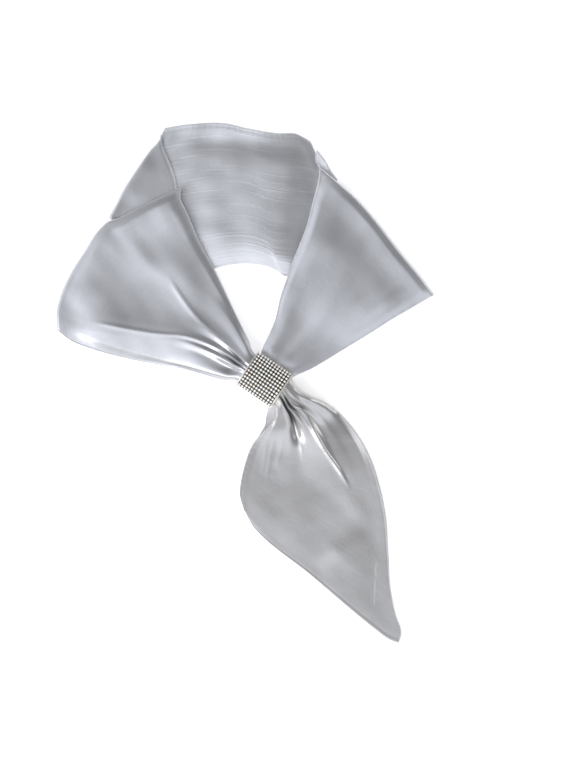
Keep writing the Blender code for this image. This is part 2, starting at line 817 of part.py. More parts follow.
def build_stone_band():
    """The band of stones round the ring: low pyramids in even rows over a plain inside."""
    half = RING_LENGTH / 2 - LIP_LENGTH - SEAM_GAP
    stations = np.linspace(-half, half, STONE_COLUMNS + 1)
    bm = bmesh.new()
    loops = [ring_loop(bm, s, STONE_FLOOR) for s in stations]
    for column, (first, second) in enumerate(zip(loops, loops[1:])):
        middle = (stations[column] + stations[column + 1]) / 2
        across, up = ring_section(RING_WIDTH / 2, RING_HEIGHT / 2, 2 * STONE_ROWS)
        for i in range(STONE_ROWS):
            j = (i + 1) % STONE_ROWS
            tip = ring_point(middle, across[2 * i + 1], RING_MIDDLE_Z + up[2 * i + 1])
            apex = bm.verts.new(np.array(tip) * MM)
            corners = (first[i], first[j], second[j], second[i])
            for a, b in zip(corners, corners[1:] + corners[:1]):
                bm.faces.new((a, b, apex))
    inner = [ring_loop(bm, s, BAND_INSIDE) for s in (-half, half)]
    join_loops(bm, loops[0], inner[0])
    join_loops(bm, inner[0], inner[1])
    join_loops(bm, inner[1], loops[-1])
    bmesh.ops.recalc_face_normals(bm, faces=bm.faces)
    return add_object("stone_band", bm, CRYSTAL, 0.12, 0.6)


def build_ring_sleeve():
    """The metal sleeve inside the stones, with a raised lip at each mouth."""
    half = RING_LENGTH / 2
    profile = [
        (-half, SLEEVE_INSIDE),
        (-half, LIP_DROP),
        (-half + LIP_LENGTH, LIP_DROP),
        (-half + LIP_LENGTH, SLEEVE_OUTSIDE),
        (half - LIP_LENGTH, SLEEVE_OUTSIDE),
        (half - LIP_LENGTH, LIP_DROP),
        (half, LIP_DROP),
        (half, SLEEVE_INSIDE),
    ]
    bm = bmesh.new()
    loops = [ring_loop(bm, along, inset) for along, inset in profile]
    for first, second in zip(loops, loops[1:] + loops[:1]):
        join_loops(bm, first, second)
    bmesh.ops.recalc_face_normals(bm, faces=bm.faces)
    return add_object("ring_sleeve", bm, METAL, 0.2, 1.0)


# --- Build ---------------------------------------------------------------------------------------


def clear_scene():
    """Removes whatever the scene holds."""
    for obj in list(bpy.data.objects):
        bpy.data.objects.remove(obj, do_unlink=True)


def stand_over_origin():
    """Moves every mesh so that the whole lies with its middle over the origin."""
    meshes = [obj.data for obj in bpy.data.collections[COLLECTION].objects]
    points = np.array([v.co for mesh in meshes for v in mesh.vertices])
    middle = (points.min(axis=0) + points.max(axis=0)) / 2
    for mesh in meshes:
        mesh.transform(Matrix.Translation((-middle[0], -middle[1], 0.0)))


def main():
    """Builds the whole neckerchief."""
    clear_scene()
    collection = bpy.data.collections.new(COLLECTION)
    bpy.context.scene.collection.children.link(collection)
    build_back_band()
    build_turn("left_turn", LEFT_TURN, LEFT_TURN_ROLL, 0.06, rows=8, columns=12)
    build_turn("right_turn", RIGHT_TURN, RIGHT_TURN_ROLL, 0.10, rows=4, columns=7)
    build_gathered("left_front", LEFT_FRONT, LEFT_FRONT_GATHER, LEFT_FRONT_HUMPS, rows=18, per_pleat=4,
                   roll=LEFT_FRONT_ROLL)
    build_gathered("right_front", RIGHT_FRONT, RIGHT_FRONT_GATHER, RIGHT_FRONT_HUMPS, rows=15, per_pleat=4,
                   roll=RIGHT_FRONT_ROLL)
    build_gathered("front_tail", FRONT_TAIL, FRONT_TAIL_GATHER, FRONT_TAIL_HUMPS, rows=22, per_pleat=4,
                   edge_lift=1.8)
    build_gathered("back_tail", BACK_TAIL, BACK_TAIL_GATHER, [], rows=15, per_pleat=3)
    build_ring_sleeve()
    build_stone_band()
    stand_over_origin()


main()
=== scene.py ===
"""Looks of a satin neckerchief drawn through a stone-set scarf ring and laid flat.

The cloth is modelled stretch by stretch on the same curves as its solids, as a thin double layer with
turned edges, and is gathered into the ring. The ring is a metal sleeve with rows of cut stones. Lengths
are in millimetres until a mesh is made, which is in metres.
"""

from __future__ import annotations

import logging
import math
from dataclasses import dataclass, field
from enum import Enum
from typing import Callable, Sequence

import bmesh
import bpy
import numpy as np
from mathutils import Matrix, Vector

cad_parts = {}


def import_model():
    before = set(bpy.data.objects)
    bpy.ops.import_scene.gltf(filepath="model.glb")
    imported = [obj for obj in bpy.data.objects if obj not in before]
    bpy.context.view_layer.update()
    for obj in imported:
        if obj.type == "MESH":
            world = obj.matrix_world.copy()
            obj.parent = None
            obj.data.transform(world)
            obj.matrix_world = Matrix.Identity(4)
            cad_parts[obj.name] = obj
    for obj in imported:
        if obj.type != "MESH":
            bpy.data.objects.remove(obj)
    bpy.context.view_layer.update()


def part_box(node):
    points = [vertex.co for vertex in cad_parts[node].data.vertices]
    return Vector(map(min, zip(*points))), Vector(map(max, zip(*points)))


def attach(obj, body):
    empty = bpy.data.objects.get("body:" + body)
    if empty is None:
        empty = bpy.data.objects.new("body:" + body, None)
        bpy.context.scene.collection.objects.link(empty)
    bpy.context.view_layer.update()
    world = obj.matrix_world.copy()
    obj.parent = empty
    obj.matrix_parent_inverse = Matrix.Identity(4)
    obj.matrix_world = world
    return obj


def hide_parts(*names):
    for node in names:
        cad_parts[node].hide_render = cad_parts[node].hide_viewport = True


LOG = logging.getLogger("neckerchief")

MM = 0.001
Point = tuple[float, float, float]
Spot = tuple[float, float]
Colour = tuple[float, float, float]
Surface = Callable[[np.ndarray, np.ndarray], np.ndarray]
Tree = bpy.types.NodeTree
Socket = bpy.types.NodeSocket

STRIP_WIDTH = 130.0
SOLID_HALF_WALL = 0.6
WALL = 0.7
HALF_WALL = WALL / 2
SETTLE = SOLID_HALF_WALL - HALF_WALL
SETTLE_BLEND = 0.35
# HOLLOW_REACH: how far to each side a narrow fold is looked for, for the shade painted into it.
HOLLOW_REACH = 7.0
# How far the highlight painted along the edges and along the turned folds reaches, in millimetres.
EDGE_HIGHLIGHT_REACH = 1.1
FOLD_HIGHLIGHT_REACH = 3.4
SEAM_GAP = 0.3
FAR_END_PULL = 1.4

BEAD_HEIGHT, BEAD_AT = 0.10, 0.9
STITCH_DEPTH, STITCH_AT = 0.07, 2.7
HEM_SPREAD = 0.6
PUCKER_HEIGHT, PUCKER_REACH = 0.05, 3.2
PUCKER_LENGTHS = (1.9, 1.13, 7.3)
# How shut a fold must be for shade to be painted into it.
HOLLOW_STEP = 0.7
HOLLOW_FROM, HOLLOW_OVER = 0.3, 1.1
WAVE_COUNT = 14
SHORTEST_WAVE, LONGEST_WAVE = 16.0, 70.0

# Shares of a gathered stretch over which its relief fades toward its end and its edges.
PLEATS_END = 0.08
CREASES_END = 0.05
LIFT_END = 0.2
LIFT_EDGE = 0.3
WAVES_EDGE = 0.12
RELIEF_EDGE = 0.07

RING_CENTRE: Spot = (17.0, 3.9)
RING_TURN = math.radians(-34.0)
RING_LENGTH = 38.4
RING_WIDTH = 36.6
RING_HEIGHT = 20.0
RING_LIFT = 4.9
RING_SQUARENESS = 2.6
RING_MIDDLE_Z = RING_LIFT + RING_HEIGHT / 2
AXIS = np.array([math.cos(RING_TURN), math.sin(RING_TURN)])
ACROSS = np.array([math.sin(RING_TURN), -math.cos(RING_TURN)])

BUNDLE_HALF_WIDTH = 15.0
BUNDLE_HALF_HEIGHT = 5.6
BUNDLE_SQUARENESS = 2.2
UNDER_RING_HALF_HEIGHT = 1.6
UNDER_RING_Z = UNDER_RING_HALF_HEIGHT + SOLID_HALF_WALL


class Hold(Enum):
    """How a stretch of the strip is held."""

    LAID = "laid"
    FOLDED = "folded"
    GATHERED = "gathered"


# --- Shapes the cloth is worked out from ----------------------------------------------------------


@dataclass(frozen=True)
class Pleat:
    """One crest or valley of a gather.

    at_ring and far_off are its places across the strip at the ring and at the far end, as shares of the
    width. height is in millimetres, and reach is how far from the ring it fades.
    """

    at_ring: float
    far_off: float
    height: float
    reach: float


@dataclass(frozen=True)
class Crease:
    """A soft ridge, or a trough where its height is below 0, laid along a few points.

    left and right are how far it spreads on the two sides of someone who walks along it, and rounding is
    how blunt its top is, all in millimetres. fade_in and fade_out are the shares of its length over which
    it starts and ends.
    """

    left: float
    right: float
    height: float
    rounding: float
    fade_in: float
    fade_out: float
    path: Sequence[Spot]


@dataclass(frozen=True)
class Dome:
    """A soft rise of the cloth, or a hollow where its height is below 0."""

    middle: Spot
    spread: Spot
    height: float


@dataclass(frozen=True)
class Roll:
    """A turned fold at a stretch's far end.

    rise is its height over the fold line, which fades over the share fade, and floor holds pairs of share
    across and height of the middle of the cloth under the roll.
    """

    radius: float
    rise: float
    fade: float
    floor: Sequence[tuple[float, float]]


@dataclass(frozen=True)
class Gather:
    """How a stretch closes up at the ring."""

    half_height: float
    opens_over: float
    pleat_start: float
    pleats: Sequence[Pleat]


def table(kind: type, columns: str, *rows: Sequence) -> list:
    """A table with named columns.

    Args:
        kind: what each row makes.
        columns: the fields' names, in the order of the columns.
        rows: the values.

    Returns:
        One of that kind for each row.
    """
    return [kind(**dict(zip(columns.split(), row, strict=True))) for row in rows]


class SmoothLine:
    """A smooth line through a few points, read by the share of its length."""

    def __init__(self, points: Sequence[Point], first_share: float = 0.0) -> None:
        """Fits the line.

        Args:
            points: the points that it passes through.
            first_share: the share at which the second point lies, where that isn't by length.
        """
        self.points = np.array(points, float)
        gaps = np.linalg.norm(np.diff(self.points, axis=0), axis=1)
        self.knots = np.concatenate([[0.0], np.cumsum(gaps)]) / gaps.sum()
        if first_share:
            beyond = (self.knots[1:] - self.knots[1]) / (1 - self.knots[1])
            self.knots[1:] = first_share + (1 - first_share) * beyond
        self.slopes = np.gradient(self.points, self.knots, axis=0)
        if first_share:
            self.slopes[0] = self.slopes[1] = (self.points[1] - self.points[0]) / first_share

    def __call__(self, share: np.ndarray | float) -> np.ndarray:
        """Points on the line.

        Args:
            share: shares of the length, from 0 to 1, in any shape.

        Returns:
            The points, with one more axis than share.
        """
        share = np.clip(np.asarray(share, float), 0.0, 1.0)
        left = np.clip(np.searchsorted(self.knots, share, side="right") - 1, 0, len(self.knots) - 2)
        span = (self.knots[left + 1] - self.knots[left])[..., None]
        t = (share - self.knots[left])[..., None] / span
        start = (2 * t**3 - 3 * t**2 + 1) * self.points[left]
        end = (3 * t**2 - 2 * t**3) * self.points[left + 1]
        bend = (t**3 - 2 * t**2 + t) * self.slopes[left] + (t**3 - t**2) * self.slopes[left + 1]
        return start + end + span * bend


@dataclass(frozen=True)
class Stretch:
    """A stretch of the strip between its near end, its far end and its two sewn edges.

    The edges run from the near end to the far end, and the ends from the first edge to the second. hidden
    is the length in or under the ring, where an edge's second point lies.
    """

    near_end: Sequence[Point]
    far_end: Sequence[Point]
    first_edge: Sequence[Point]
    second_edge: Sequence[Point]
    length: float
    hidden: float = 0.0

    def surface(self) -> Surface:
        """The smooth surface between the four curves, as a function of shares along and across."""
        mouth = self.hidden / self.length
        near, far = SmoothLine(self.near_end), SmoothLine(self.far_end)
        first, second = SmoothLine(self.first_edge, mouth), SmoothLine(self.second_edge, mouth)
        pull = FAR_END_PULL if mouth else 1.0

        def at(u: np.ndarray, v: np.ndarray) -> np.ndarray:
            """Points of the surface at shares u along and v across."""
            u, v = np.broadcast_arrays(u, v)
            along = (np.maximum(u - mouth, 0.0) / (1 - mouth)) ** pull
            s, t = along[..., None], v[..., None]
            by_edges = (1 - t) * first(u) + t * second(u)
            by_ends = (1 - s) * near(v) + s * far(v)
            near_line = (1 - t) * near(0.0) + t * near(1.0)
            far_line = (1 - t) * far(0.0) + t * far(1.0)
            return by_edges + by_ends - (1 - s) * near_line - s * far_line

        return at


def smooth_step(share: np.ndarray | float) -> np.ndarray:
    """0 below 0, 1 above 1, and a smooth rise between."""
    share = np.clip(share, 0.0, 1.0)
    return share * share * (3 - 2 * share)


def way_along(points: np.ndarray) -> np.ndarray:
    """How far along a line each of its points lies."""
    return np.concatenate([[0.0], np.cumsum(np.linalg.norm(np.diff(points, axis=0), axis=1))])


def ring_point(along: float, across: float, z: float = RING_MIDDLE_Z) -> Point:
    """A point given along the ring's axis and across it from the ring's middle."""
    x, y = np.array(RING_CENTRE) + along * AXIS + across * ACROSS
    return (float(x), float(y), z)


def under_ring_end(forward: int) -> list[Point]:
    """The line across the folded cloth beneath the ring, moved to leave the seam's gap."""
    left, right = (14.8, -1.0), (40.0, 3.0)
    middle = ((left[0] + right[0]) / 2, (left[1] + right[1]) / 2)
    return [(x, y - forward * SEAM_GAP / 2, UNDER_RING_Z) for x, y in (left, middle, right)]


def surface_normals(grid: np.ndarray) -> np.ndarray:
    """Unit normals of a grid of points, pointing up where the grid lies face up."""
    normal = np.cross(np.gradient(grid, axis=1), np.gradient(grid, axis=0))
    normal /= np.maximum(np.linalg.norm(normal, axis=2, keepdims=True), 1e-9)
    return normal if normal[len(grid) // 2, grid.shape[1] // 2, 2] > 0 else -normal


def crease_heights(creases: Sequence[Crease], grid: np.ndarray) -> np.ndarray:
    """The summed height of the given creases over a grid of points.

    Args:
        creases: the ridges and troughs.
        grid: the points, of which only x and y are read.

    Returns:
        A height for each point.
    """
    height = np.zeros(grid.shape[:2])
    plan = grid[..., :2]
    for crease in creases:
        line = SmoothLine([(x, y, 0.0) for x, y in crease.path])
        points = line(np.linspace(0.0, 1.0, 40))[:, :2]
        away = np.full(plan.shape[:2], 1e9)
        side = np.zeros(plan.shape[:2])
        share = np.zeros(plan.shape[:2])
        for step, (a, b) in enumerate(zip(points, points[1:])):
            way = b - a
            t = np.clip(((plan - a) @ way) / max(float(way @ way), 1e-9), 0.0, 1.0)
            distance = np.linalg.norm(plan - a - t[..., None] * way, axis=2)
            turn = way[0] * (plan[..., 1] - a[1]) - way[1] * (plan[..., 0] - a[0])
            nearer = distance < away
            side = np.where(nearer, turn, side)
            share = np.where(nearer, (step + t) / (len(points) - 1), share)
            away = np.minimum(away, distance)
        ends = smooth_step(share / crease.fade_in) * smooth_step((1 - share) / crease.fade_out)
        reach = np.sqrt(away**2 + crease.rounding**2) - crease.rounding
        width = np.where(side > 0, crease.left, crease.right)
        ridge = crease.height * ends * np.exp(-((reach / width) ** 1.5))
        height += softened(ridge, int(0.2 * min(crease.left, crease.right) ** 2))
    return height


def softened(height: np.ndarray, times: int) -> np.ndarray:
    """A grid of heights, each averaged with its neighbours a number of times."""
    for _ in range(times):
        padded = np.pad(height, 1, mode="edge")
        around = padded[:-2, 1:-1] + padded[2:, 1:-1] + padded[1:-1, :-2] + padded[1:-1, 2:]
        height = around / 8 + height / 2
    return height


def dome_heights(domes: Sequence[Dome], grid: np.ndarray) -> np.ndarray:
    """The summed height of soft domes over a grid of points."""
    height = np.zeros(grid.shape[:2])
    for dome in domes:
        across = (grid[..., 0] - dome.middle[0]) / dome.spread[0]
        down = (grid[..., 1] - dome.middle[1]) / dome.spread[1]
        height += dome.height * np.exp(-(across**2) - down**2)
    return height


def gentle_waves(grid: np.ndarray, seed: int, size: float) -> np.ndarray:
    """Uneven low waves over a grid, so that no stretch of cloth is quite smooth.

    Args:
        grid: the points, of which only x and y are read.
        seed: picks the waves.
        size: the height of the waves together.

    Returns:
        A height for each point.
    """
    chance = np.random.default_rng(seed)
    height = np.zeros(grid.shape[:2])
    for _ in range(WAVE_COUNT):
        heading = chance.uniform(0.0, math.pi)
        length = chance.uniform(SHORTEST_WAVE, LONGEST_WAVE)
        phase = chance.uniform(0.0, 2 * math.pi)
        across = grid[..., 0] * math.cos(heading) + grid[..., 1] * math.sin(heading)
        height += math.sqrt(length / LONGEST_WAVE) * np.sin(2 * math.pi * across / length + phase)
    return height * size / math.sqrt(WAVE_COUNT)


# --- The cloth ------------------------------------------------------------------------------------


EDGE_STEPS = np.array([0.0, 0.1, 0.3, 0.6, 1.0, 1.6, 2.3, 3.0, 3.8])


def edged_shares(length: float, count: int, first: bool = True, second: bool = True) -> np.ndarray:
    """Shares from 0 to 1 that are even but for close steps at a turned edge.

    Args:
        length: the length that the shares divide.
        count: how many even steps.
        first: whether the start is a turned edge.
        second: whether the end is.

    Returns:
        The shares, in order.
    """
    edge = EDGE_STEPS / length
    start = edge[-1] if first else 0.0
    end = edge[-1] if second else 0.0
    parts = [edge[:-1]] if first else []
    parts.append(np.linspace(start, 1 - end, count))
    if second:
        parts.append(1 - edge[:-1][::-1])
    return np.concatenate(parts)


def rounded_wall(from_edge: np.ndarray) -> np.ndarray:
    """Half the cloth's thickness, rounded off within half a wall of its edge."""
    share = np.clip(from_edge / HALF_WALL, 0.0, 1.0)
    return HALF_WALL * np.sqrt(1 - (1 - share) ** 2)


def hem_relief(from_edge: np.ndarray) -> np.ndarray:
    """The turned edge's bead and the dip of its stitch line."""
    bead = BEAD_HEIGHT * np.exp(-(((from_edge - BEAD_AT) / HEM_SPREAD) ** 2))
    dip = STITCH_DEPTH * np.exp(-(((from_edge - STITCH_AT) / HEM_SPREAD) ** 2))
    return bead - dip


def edge_pucker(along: np.ndarray, from_edge: np.ndarray, seed: int) -> np.ndarray:
    """The slight uneven ripple that the stitching leaves along an edge."""
    main, fine, slow = PUCKER_LENGTHS
    ripple = np.sin(along / main + seed) + 0.7 * np.sin(along / fine + 2.1 * seed) * np.sin(along / slow)
    return PUCKER_HEIGHT * ripple * np.exp(-from_edge / PUCKER_REACH)


def hollows(face: np.ndarray) -> np.ndarray:
    """How shut in each point of a face is between the folds on its two sides, which is the mask of the shade
    painted into the satin's narrow folds.

    Args:
        face: the points of a face, whose rows run across the cloth.

    Returns:
        A share from 0, open, to 1, at the bottom of a narrow fold.
    """
    shut = np.zeros(face.shape[:2])
    for index, row in enumerate(face):
        way = way_along(row[:, :2])
        away = way[None, :] - way[:, None]
        rise = (row[None, :, 2] - row[:, None, 2]) / np.maximum(np.abs(away), HOLLOW_STEP)
        near = np.abs(away) < HOLLOW_REACH
        before = np.where(near & (away < 0), rise, 0.0).max(axis=1)
        after = np.where(near & (away > 0), rise, 0.0).max(axis=1)
        shut[index] = np.sqrt(np.maximum(before, 0.0) * np.maximum(after, 0.0))
    return smooth_step((softened(shut, 2) - HOLLOW_FROM) / HOLLOW_OVER)


def edge_highlight_shares(face: np.ndarray, end_reach: float) -> np.ndarray:
    """How near each point of a face is to an edge or to its end, from 0, away, to 1, at it: the mask of the
    highlight painted along edges and folds.

    Args:
        face: the points of a face, whose rows run across the cloth.
        end_reach: how far the highlight painted along the end spreads, in millimetres.

    Returns:
        A share for each point.
    """
    steps = np.linalg.norm(np.diff(face, axis=1), axis=2)
    way = np.concatenate([np.zeros((len(face), 1)), np.cumsum(steps, axis=1)], axis=1)
    to_side = np.minimum(way, way[:, -1:] - way)
    toward = face[-len(face) // 4, :, :2] - face[len(face) // 2, :, :2]
    farthest = np.argmax(np.sum(face[..., :2] * toward, axis=2), axis=0)
    steps = np.linalg.norm(np.diff(face, axis=0), axis=2)
    way = np.concatenate([np.zeros((1, face.shape[1])), np.cumsum(steps, axis=0)], axis=0)
    to_end = np.abs(way - way[farthest, np.arange(face.shape[1])])
    return np.maximum(np.exp(-((to_side / EDGE_HIGHLIGHT_REACH) ** 2)), np.exp(-((to_end / end_reach) ** 2)))


def settle_on_table(outer: np.ndarray, inner: np.ndarray) -> tuple[np.ndarray, np.ndarray]:
    """Keeps both faces of the cloth above the table.

    Args:
        outer: the points of the outer face.
        inner: the points of the inner face.

    Returns:
        The two faces, the lower one flat where it would pass the table.
    """
    outer, inner = outer.copy(), inner.copy()
    face_up = outer[..., 2] >= inner[..., 2]
    wall = np.minimum(np.abs(outer[..., 2] - inner[..., 2]), WALL)
    lower = np.maximum(np.where(face_up, inner[..., 2], outer[..., 2]), 0.0)
    spare = np.where(face_up, outer[..., 2], inner[..., 2]) - lower - wall
    upper = lower + wall + (spare + np.sqrt(spare**2 + SETTLE_BLEND**2)) / 2
    outer[..., 2] = np.where(face_up, upper, lower)
    inner[..., 2] = np.where(face_up, lower, upper)
    return outer, inner


@dataclass
class Cloth:
    """One stretch of the strip, as a thin double layer closed round its edges.

    Each kind of stretch works out its own faces. cut_width and cut_length are its flat size.
    """

    name: str
    stretch: Stretch
    finish: SatinFinish
    hold: Hold
    cut_width: float = STRIP_WIDTH
    cut_length: float = 200.0
    cut_share: float = 1.0
    rests_on: Sequence[str] = ()
    creases: Sequence[Crease] = ()
    domes: Sequence[Dome] = ()
    seed: int = 1
    wave_size: float = 0.16
    end_reach: float = EDGE_HIGHLIGHT_REACH

    def faces(self) -> tuple[np.ndarray, np.ndarray, np.ndarray]:
        """Works out the stretch.

        Returns:
            The outer face, the inner face and the cloth's own flat coordinates, all as grids.
        """
        raise NotImplementedError

    def build(self, shift: Vector) -> bpy.types.Object:
        """Makes the stretch's object.

        Args:
            shift: from the tables' origin to the frame's, in metres.

        Returns:
            The finished piece.
        """
        outer, inner, flat = self.faces()
        outer[..., 2] -= SETTLE
        inner[..., 2] -= SETTLE
        outer, inner = settle_on_table(outer, inner)
        mesh = self.shell_mesh(outer, inner, flat)
        mesh.transform(Matrix.Translation(shift))
        piece = bpy.data.objects.new(f"{self.name}_cloth", mesh)
        bpy.context.scene.collection.objects.link(piece)
        mesh.materials.append(self.finish.material())
        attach(piece, "root")
        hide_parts(self.name)
        LOG.info("%s: %d faces", piece.name, len(mesh.polygons))
        return piece

    def shell_mesh(self, outer: np.ndarray, inner: np.ndarray, flat: np.ndarray) -> bpy.types.Mesh:
        """Joins two faces of cloth round their rim.

        Args:
            outer: the outer face's points.
            inner: the inner face's points, which meet the outer ones at the rim.
            flat: the cloth's flat coordinates, in metres, for its weave.

        Returns:
            The closed mesh.
        """
        rows, columns = outer.shape[:2]
        size = rows * columns
        bm = bmesh.new()
        bmesh.ops.create_grid(bm, x_segments=columns - 1, y_segments=rows - 1, size=1.0)
        upper_faces = set(bm.faces)
        bmesh.ops.create_grid(bm, x_segments=columns - 1, y_segments=rows - 1, size=1.0)
        bmesh.ops.reverse_faces(bm, faces=[face for face in bm.faces if face not in upper_faces])
        mesh = bpy.data.meshes.new(f"{self.name}_cloth")
        bm.to_mesh(mesh)
        bm.free()
        points = np.concatenate([outer.reshape(-1, 3), inner.reshape(-1, 3)]) * MM
        mesh.vertices.foreach_set("co", points.astype(np.float32).ravel())
        corners = np.empty(len(mesh.loops), np.int32)
        mesh.loops.foreach_get("vertex_index", corners)
        uv = mesh.uv_layers.new(name="flat_cloth")
        uv.data.foreach_set("uv", np.tile(flat.reshape(-1, 2), (2, 1))[corners].astype(np.float32).ravel())
        # Painted shade: the share that darkens the colour in narrow folds.
        shut = np.concatenate([hollows(outer).ravel(), np.zeros(size)])
        # Painted highlight: the share that lightens the colour along the edges and the turned folds.
        hem = np.tile(edge_highlight_shares(outer, self.end_reach).ravel(), 2)
        for name, values in (("hollow", shut), ("hem", hem)):
            layer = mesh.attributes.new(name, "FLOAT", "POINT")
            layer.data.foreach_set("value", values.astype(np.float32))
        index = np.arange(size).reshape(rows, columns)
        rim = np.unique(np.concatenate([index[0], index[-1], index[:, 0], index[:, -1]]))
        bm = bmesh.new()
        bm.from_mesh(mesh)
        bm.verts.ensure_lookup_table()
        pairs = {bm.verts[int(i) + size]: bm.verts[int(i)] for i in rim}
        bmesh.ops.weld_verts(bm, targetmap=pairs)
        bmesh.ops.recalc_face_normals(bm, faces=bm.faces)
        bm.to_mesh(mesh)
        bm.free()
        mesh.shade_smooth()
        return mesh

    def with_walls(
        self, middle: np.ndarray, thickness: np.ndarray, relief: np.ndarray
    ) -> tuple[np.ndarray, np.ndarray]:
        """The two faces either side of the cloth's middle.

        Args:
            middle: the middle of the cloth.
            thickness: half the thickness at each point.
            relief: what the outer face stands up by.

        Returns:
            The outer and the inner face.
        """
        normal = surface_normals(middle)
        shown = np.minimum(thickness / HALF_WALL, 1.0)
        outer = middle + normal * (thickness + relief * shown)[..., None]
        inner = middle - normal * thickness[..., None]
        return outer, inner


@dataclass
class BackBand(Cloth):
    """The stretch behind the neck, which lies with its inner face up.

    flat_from is the share across at which its lifted top edge has come down to the table, and
    clear_of_folds how far from its two ends its creases begin.
    """

    flat_from: float = 0.14
    clear_of_folds: float = 24.0

    def faces(self) -> tuple[np.ndarray, np.ndarray, np.ndarray]:
        """Works out the band: flat on the table, its top edge lifting a little."""
        along = edged_shares(self.stretch.length, 250, False, False)
        across = edged_shares(STRIP_WIDTH, 100)
        u, v = np.meshgrid(along, across, indexing="ij")
        middle = self.stretch.surface()(u, v)
        lifted = np.maximum(middle[..., 2] - SOLID_HALF_WALL, 0.0)
        middle[..., 2] = SOLID_HALF_WALL + 0.5 * lifted * (1 - smooth_step(v / self.flat_from))
        from_edge = np.minimum(v, 1 - v) * STRIP_WIDTH
        from_end = np.minimum(u, 1 - u) * self.stretch.length
        thickness = rounded_wall(np.minimum(from_edge, from_end))
        shown = smooth_step(from_end / self.clear_of_folds)
        relief = hem_relief(from_edge) + edge_pucker(u * self.stretch.length, from_edge, self.seed)
        waves = gentle_waves(middle, self.seed, self.wave_size) + self.wave_size
        middle[..., 2] += (waves + crease_heights(self.creases, middle)) * shown
        outer, inner = self.with_walls(middle, thickness, relief)
        flat = np.stack([u * self.cut_length * MM, v * self.cut_width * MM], axis=-1)
        return outer, inner, flat


@dataclass
class FoldedCloth(Cloth):
    """A stretch that ends in a turned fold."""

    roll: Roll = Roll(radius=3.0, rise=2.0, fade=0.5, floor=((0.0, 1.0), (1.0, 1.0)))
    rows: int = 60
    columns: int = 80
    from_corner: float = 0.0

    def fold_reach(self, surface: Surface, v: np.ndarray) -> np.ndarray:
        """How many millimetres a whole share along covers at the fold."""
        step = surface(np.full_like(v, 0.85), v)[..., :2] - surface(np.full_like(v, 1.0), v)[..., :2]
        return np.linalg.norm(step, axis=-1) / 0.15

    def fold_rows(self, surface: Surface, v: np.ndarray) -> tuple[list[np.ndarray], list[np.ndarray]]:
        """The rows from the start of the fold over and round to its underside.

        Args:
            surface: the stretch's surface.
            v: the shares across.

        Returns:
            The rows' shares along, and their points.
        """
        reach = self.fold_reach(surface, v)
        edge_z = surface(np.ones_like(v), v)[..., 2]
        shares, floors = zip(*self.roll.floor)
        drop = edge_z - np.interp(v, shares, floors)
        us, rows = [], []
        for angle in np.radians(np.linspace(90.0, -90.0, 19))[1:]:
            u = 1 - (HALF_WALL + self.roll.radius * (1 - math.cos(angle))) / reach
            row = surface(u, v)
            if angle > 0:
                row[..., 2] += math.sin(angle) * self.roll.rise
            else:
                row[..., 2] = edge_z + math.sin(angle) * drop
            us.append(u)
            rows.append(row)
        return us, rows

    def before_fold(self, surface: Surface, share: float, v: np.ndarray) -> tuple[np.ndarray, np.ndarray]:
        """A row of the open cloth.

        Args:
            surface: the stretch's surface.
            share: the row's share of the way to the start of the fold.
            v: the shares across.

        Returns:
            The row's shares along, and its points.
        """
        last = 1 - (self.roll.radius + HALF_WALL) / self.fold_reach(surface, v)
        u = share * last
        row = surface(u, v)
        row[..., 2] += self.roll.rise * smooth_step(1 - (1 - u) / self.roll.fade)
        return u, row

    def faces(self) -> tuple[np.ndarray, np.ndarray, np.ndarray]:
        """Works out a short stretch that turns over at one side of the neck."""
        surface = self.stretch.surface()
        across = edged_shares(STRIP_WIDTH / 2, self.columns, True, False)
        v = self.from_corner + (1 - self.from_corner) * across
        us, points = [], []
        for share in np.linspace(0.0, 1.0, self.rows):
            u, row = self.before_fold(surface, float(share), v)
            us.append(u)
            points.append(row)
        fold_us, fold_points = self.fold_rows(surface, v)
        u, middle = np.array(us + fold_us), np.array(points + fold_points)
        rows, columns = middle.shape[:2]
        way = way_along(middle[:, columns // 2])
        from_end = np.minimum(way, way[-1] - way)[:, None]
        from_edge = np.broadcast_to((v - v[0]) * STRIP_WIDTH / 2, (rows, columns))
        thickness = rounded_wall(np.minimum(np.minimum(from_edge, from_end), (v[-1] - v) * STRIP_WIDTH))
        middle[..., 2] += crease_heights(self.creases, middle) * smooth_step(from_end / 12.0)
        relief = hem_relief(from_edge) + edge_pucker(way[:, None] * np.ones(columns), from_edge, self.seed)
        outer, inner = self.with_walls(middle, thickness, relief * smooth_step(from_end / 4.0))
        flat_across = np.broadcast_to(v, u.shape) * STRIP_WIDTH * MM
        flat = np.stack([way[:, None] * MM * np.ones(columns), flat_across], axis=-1)
        return outer, inner, flat


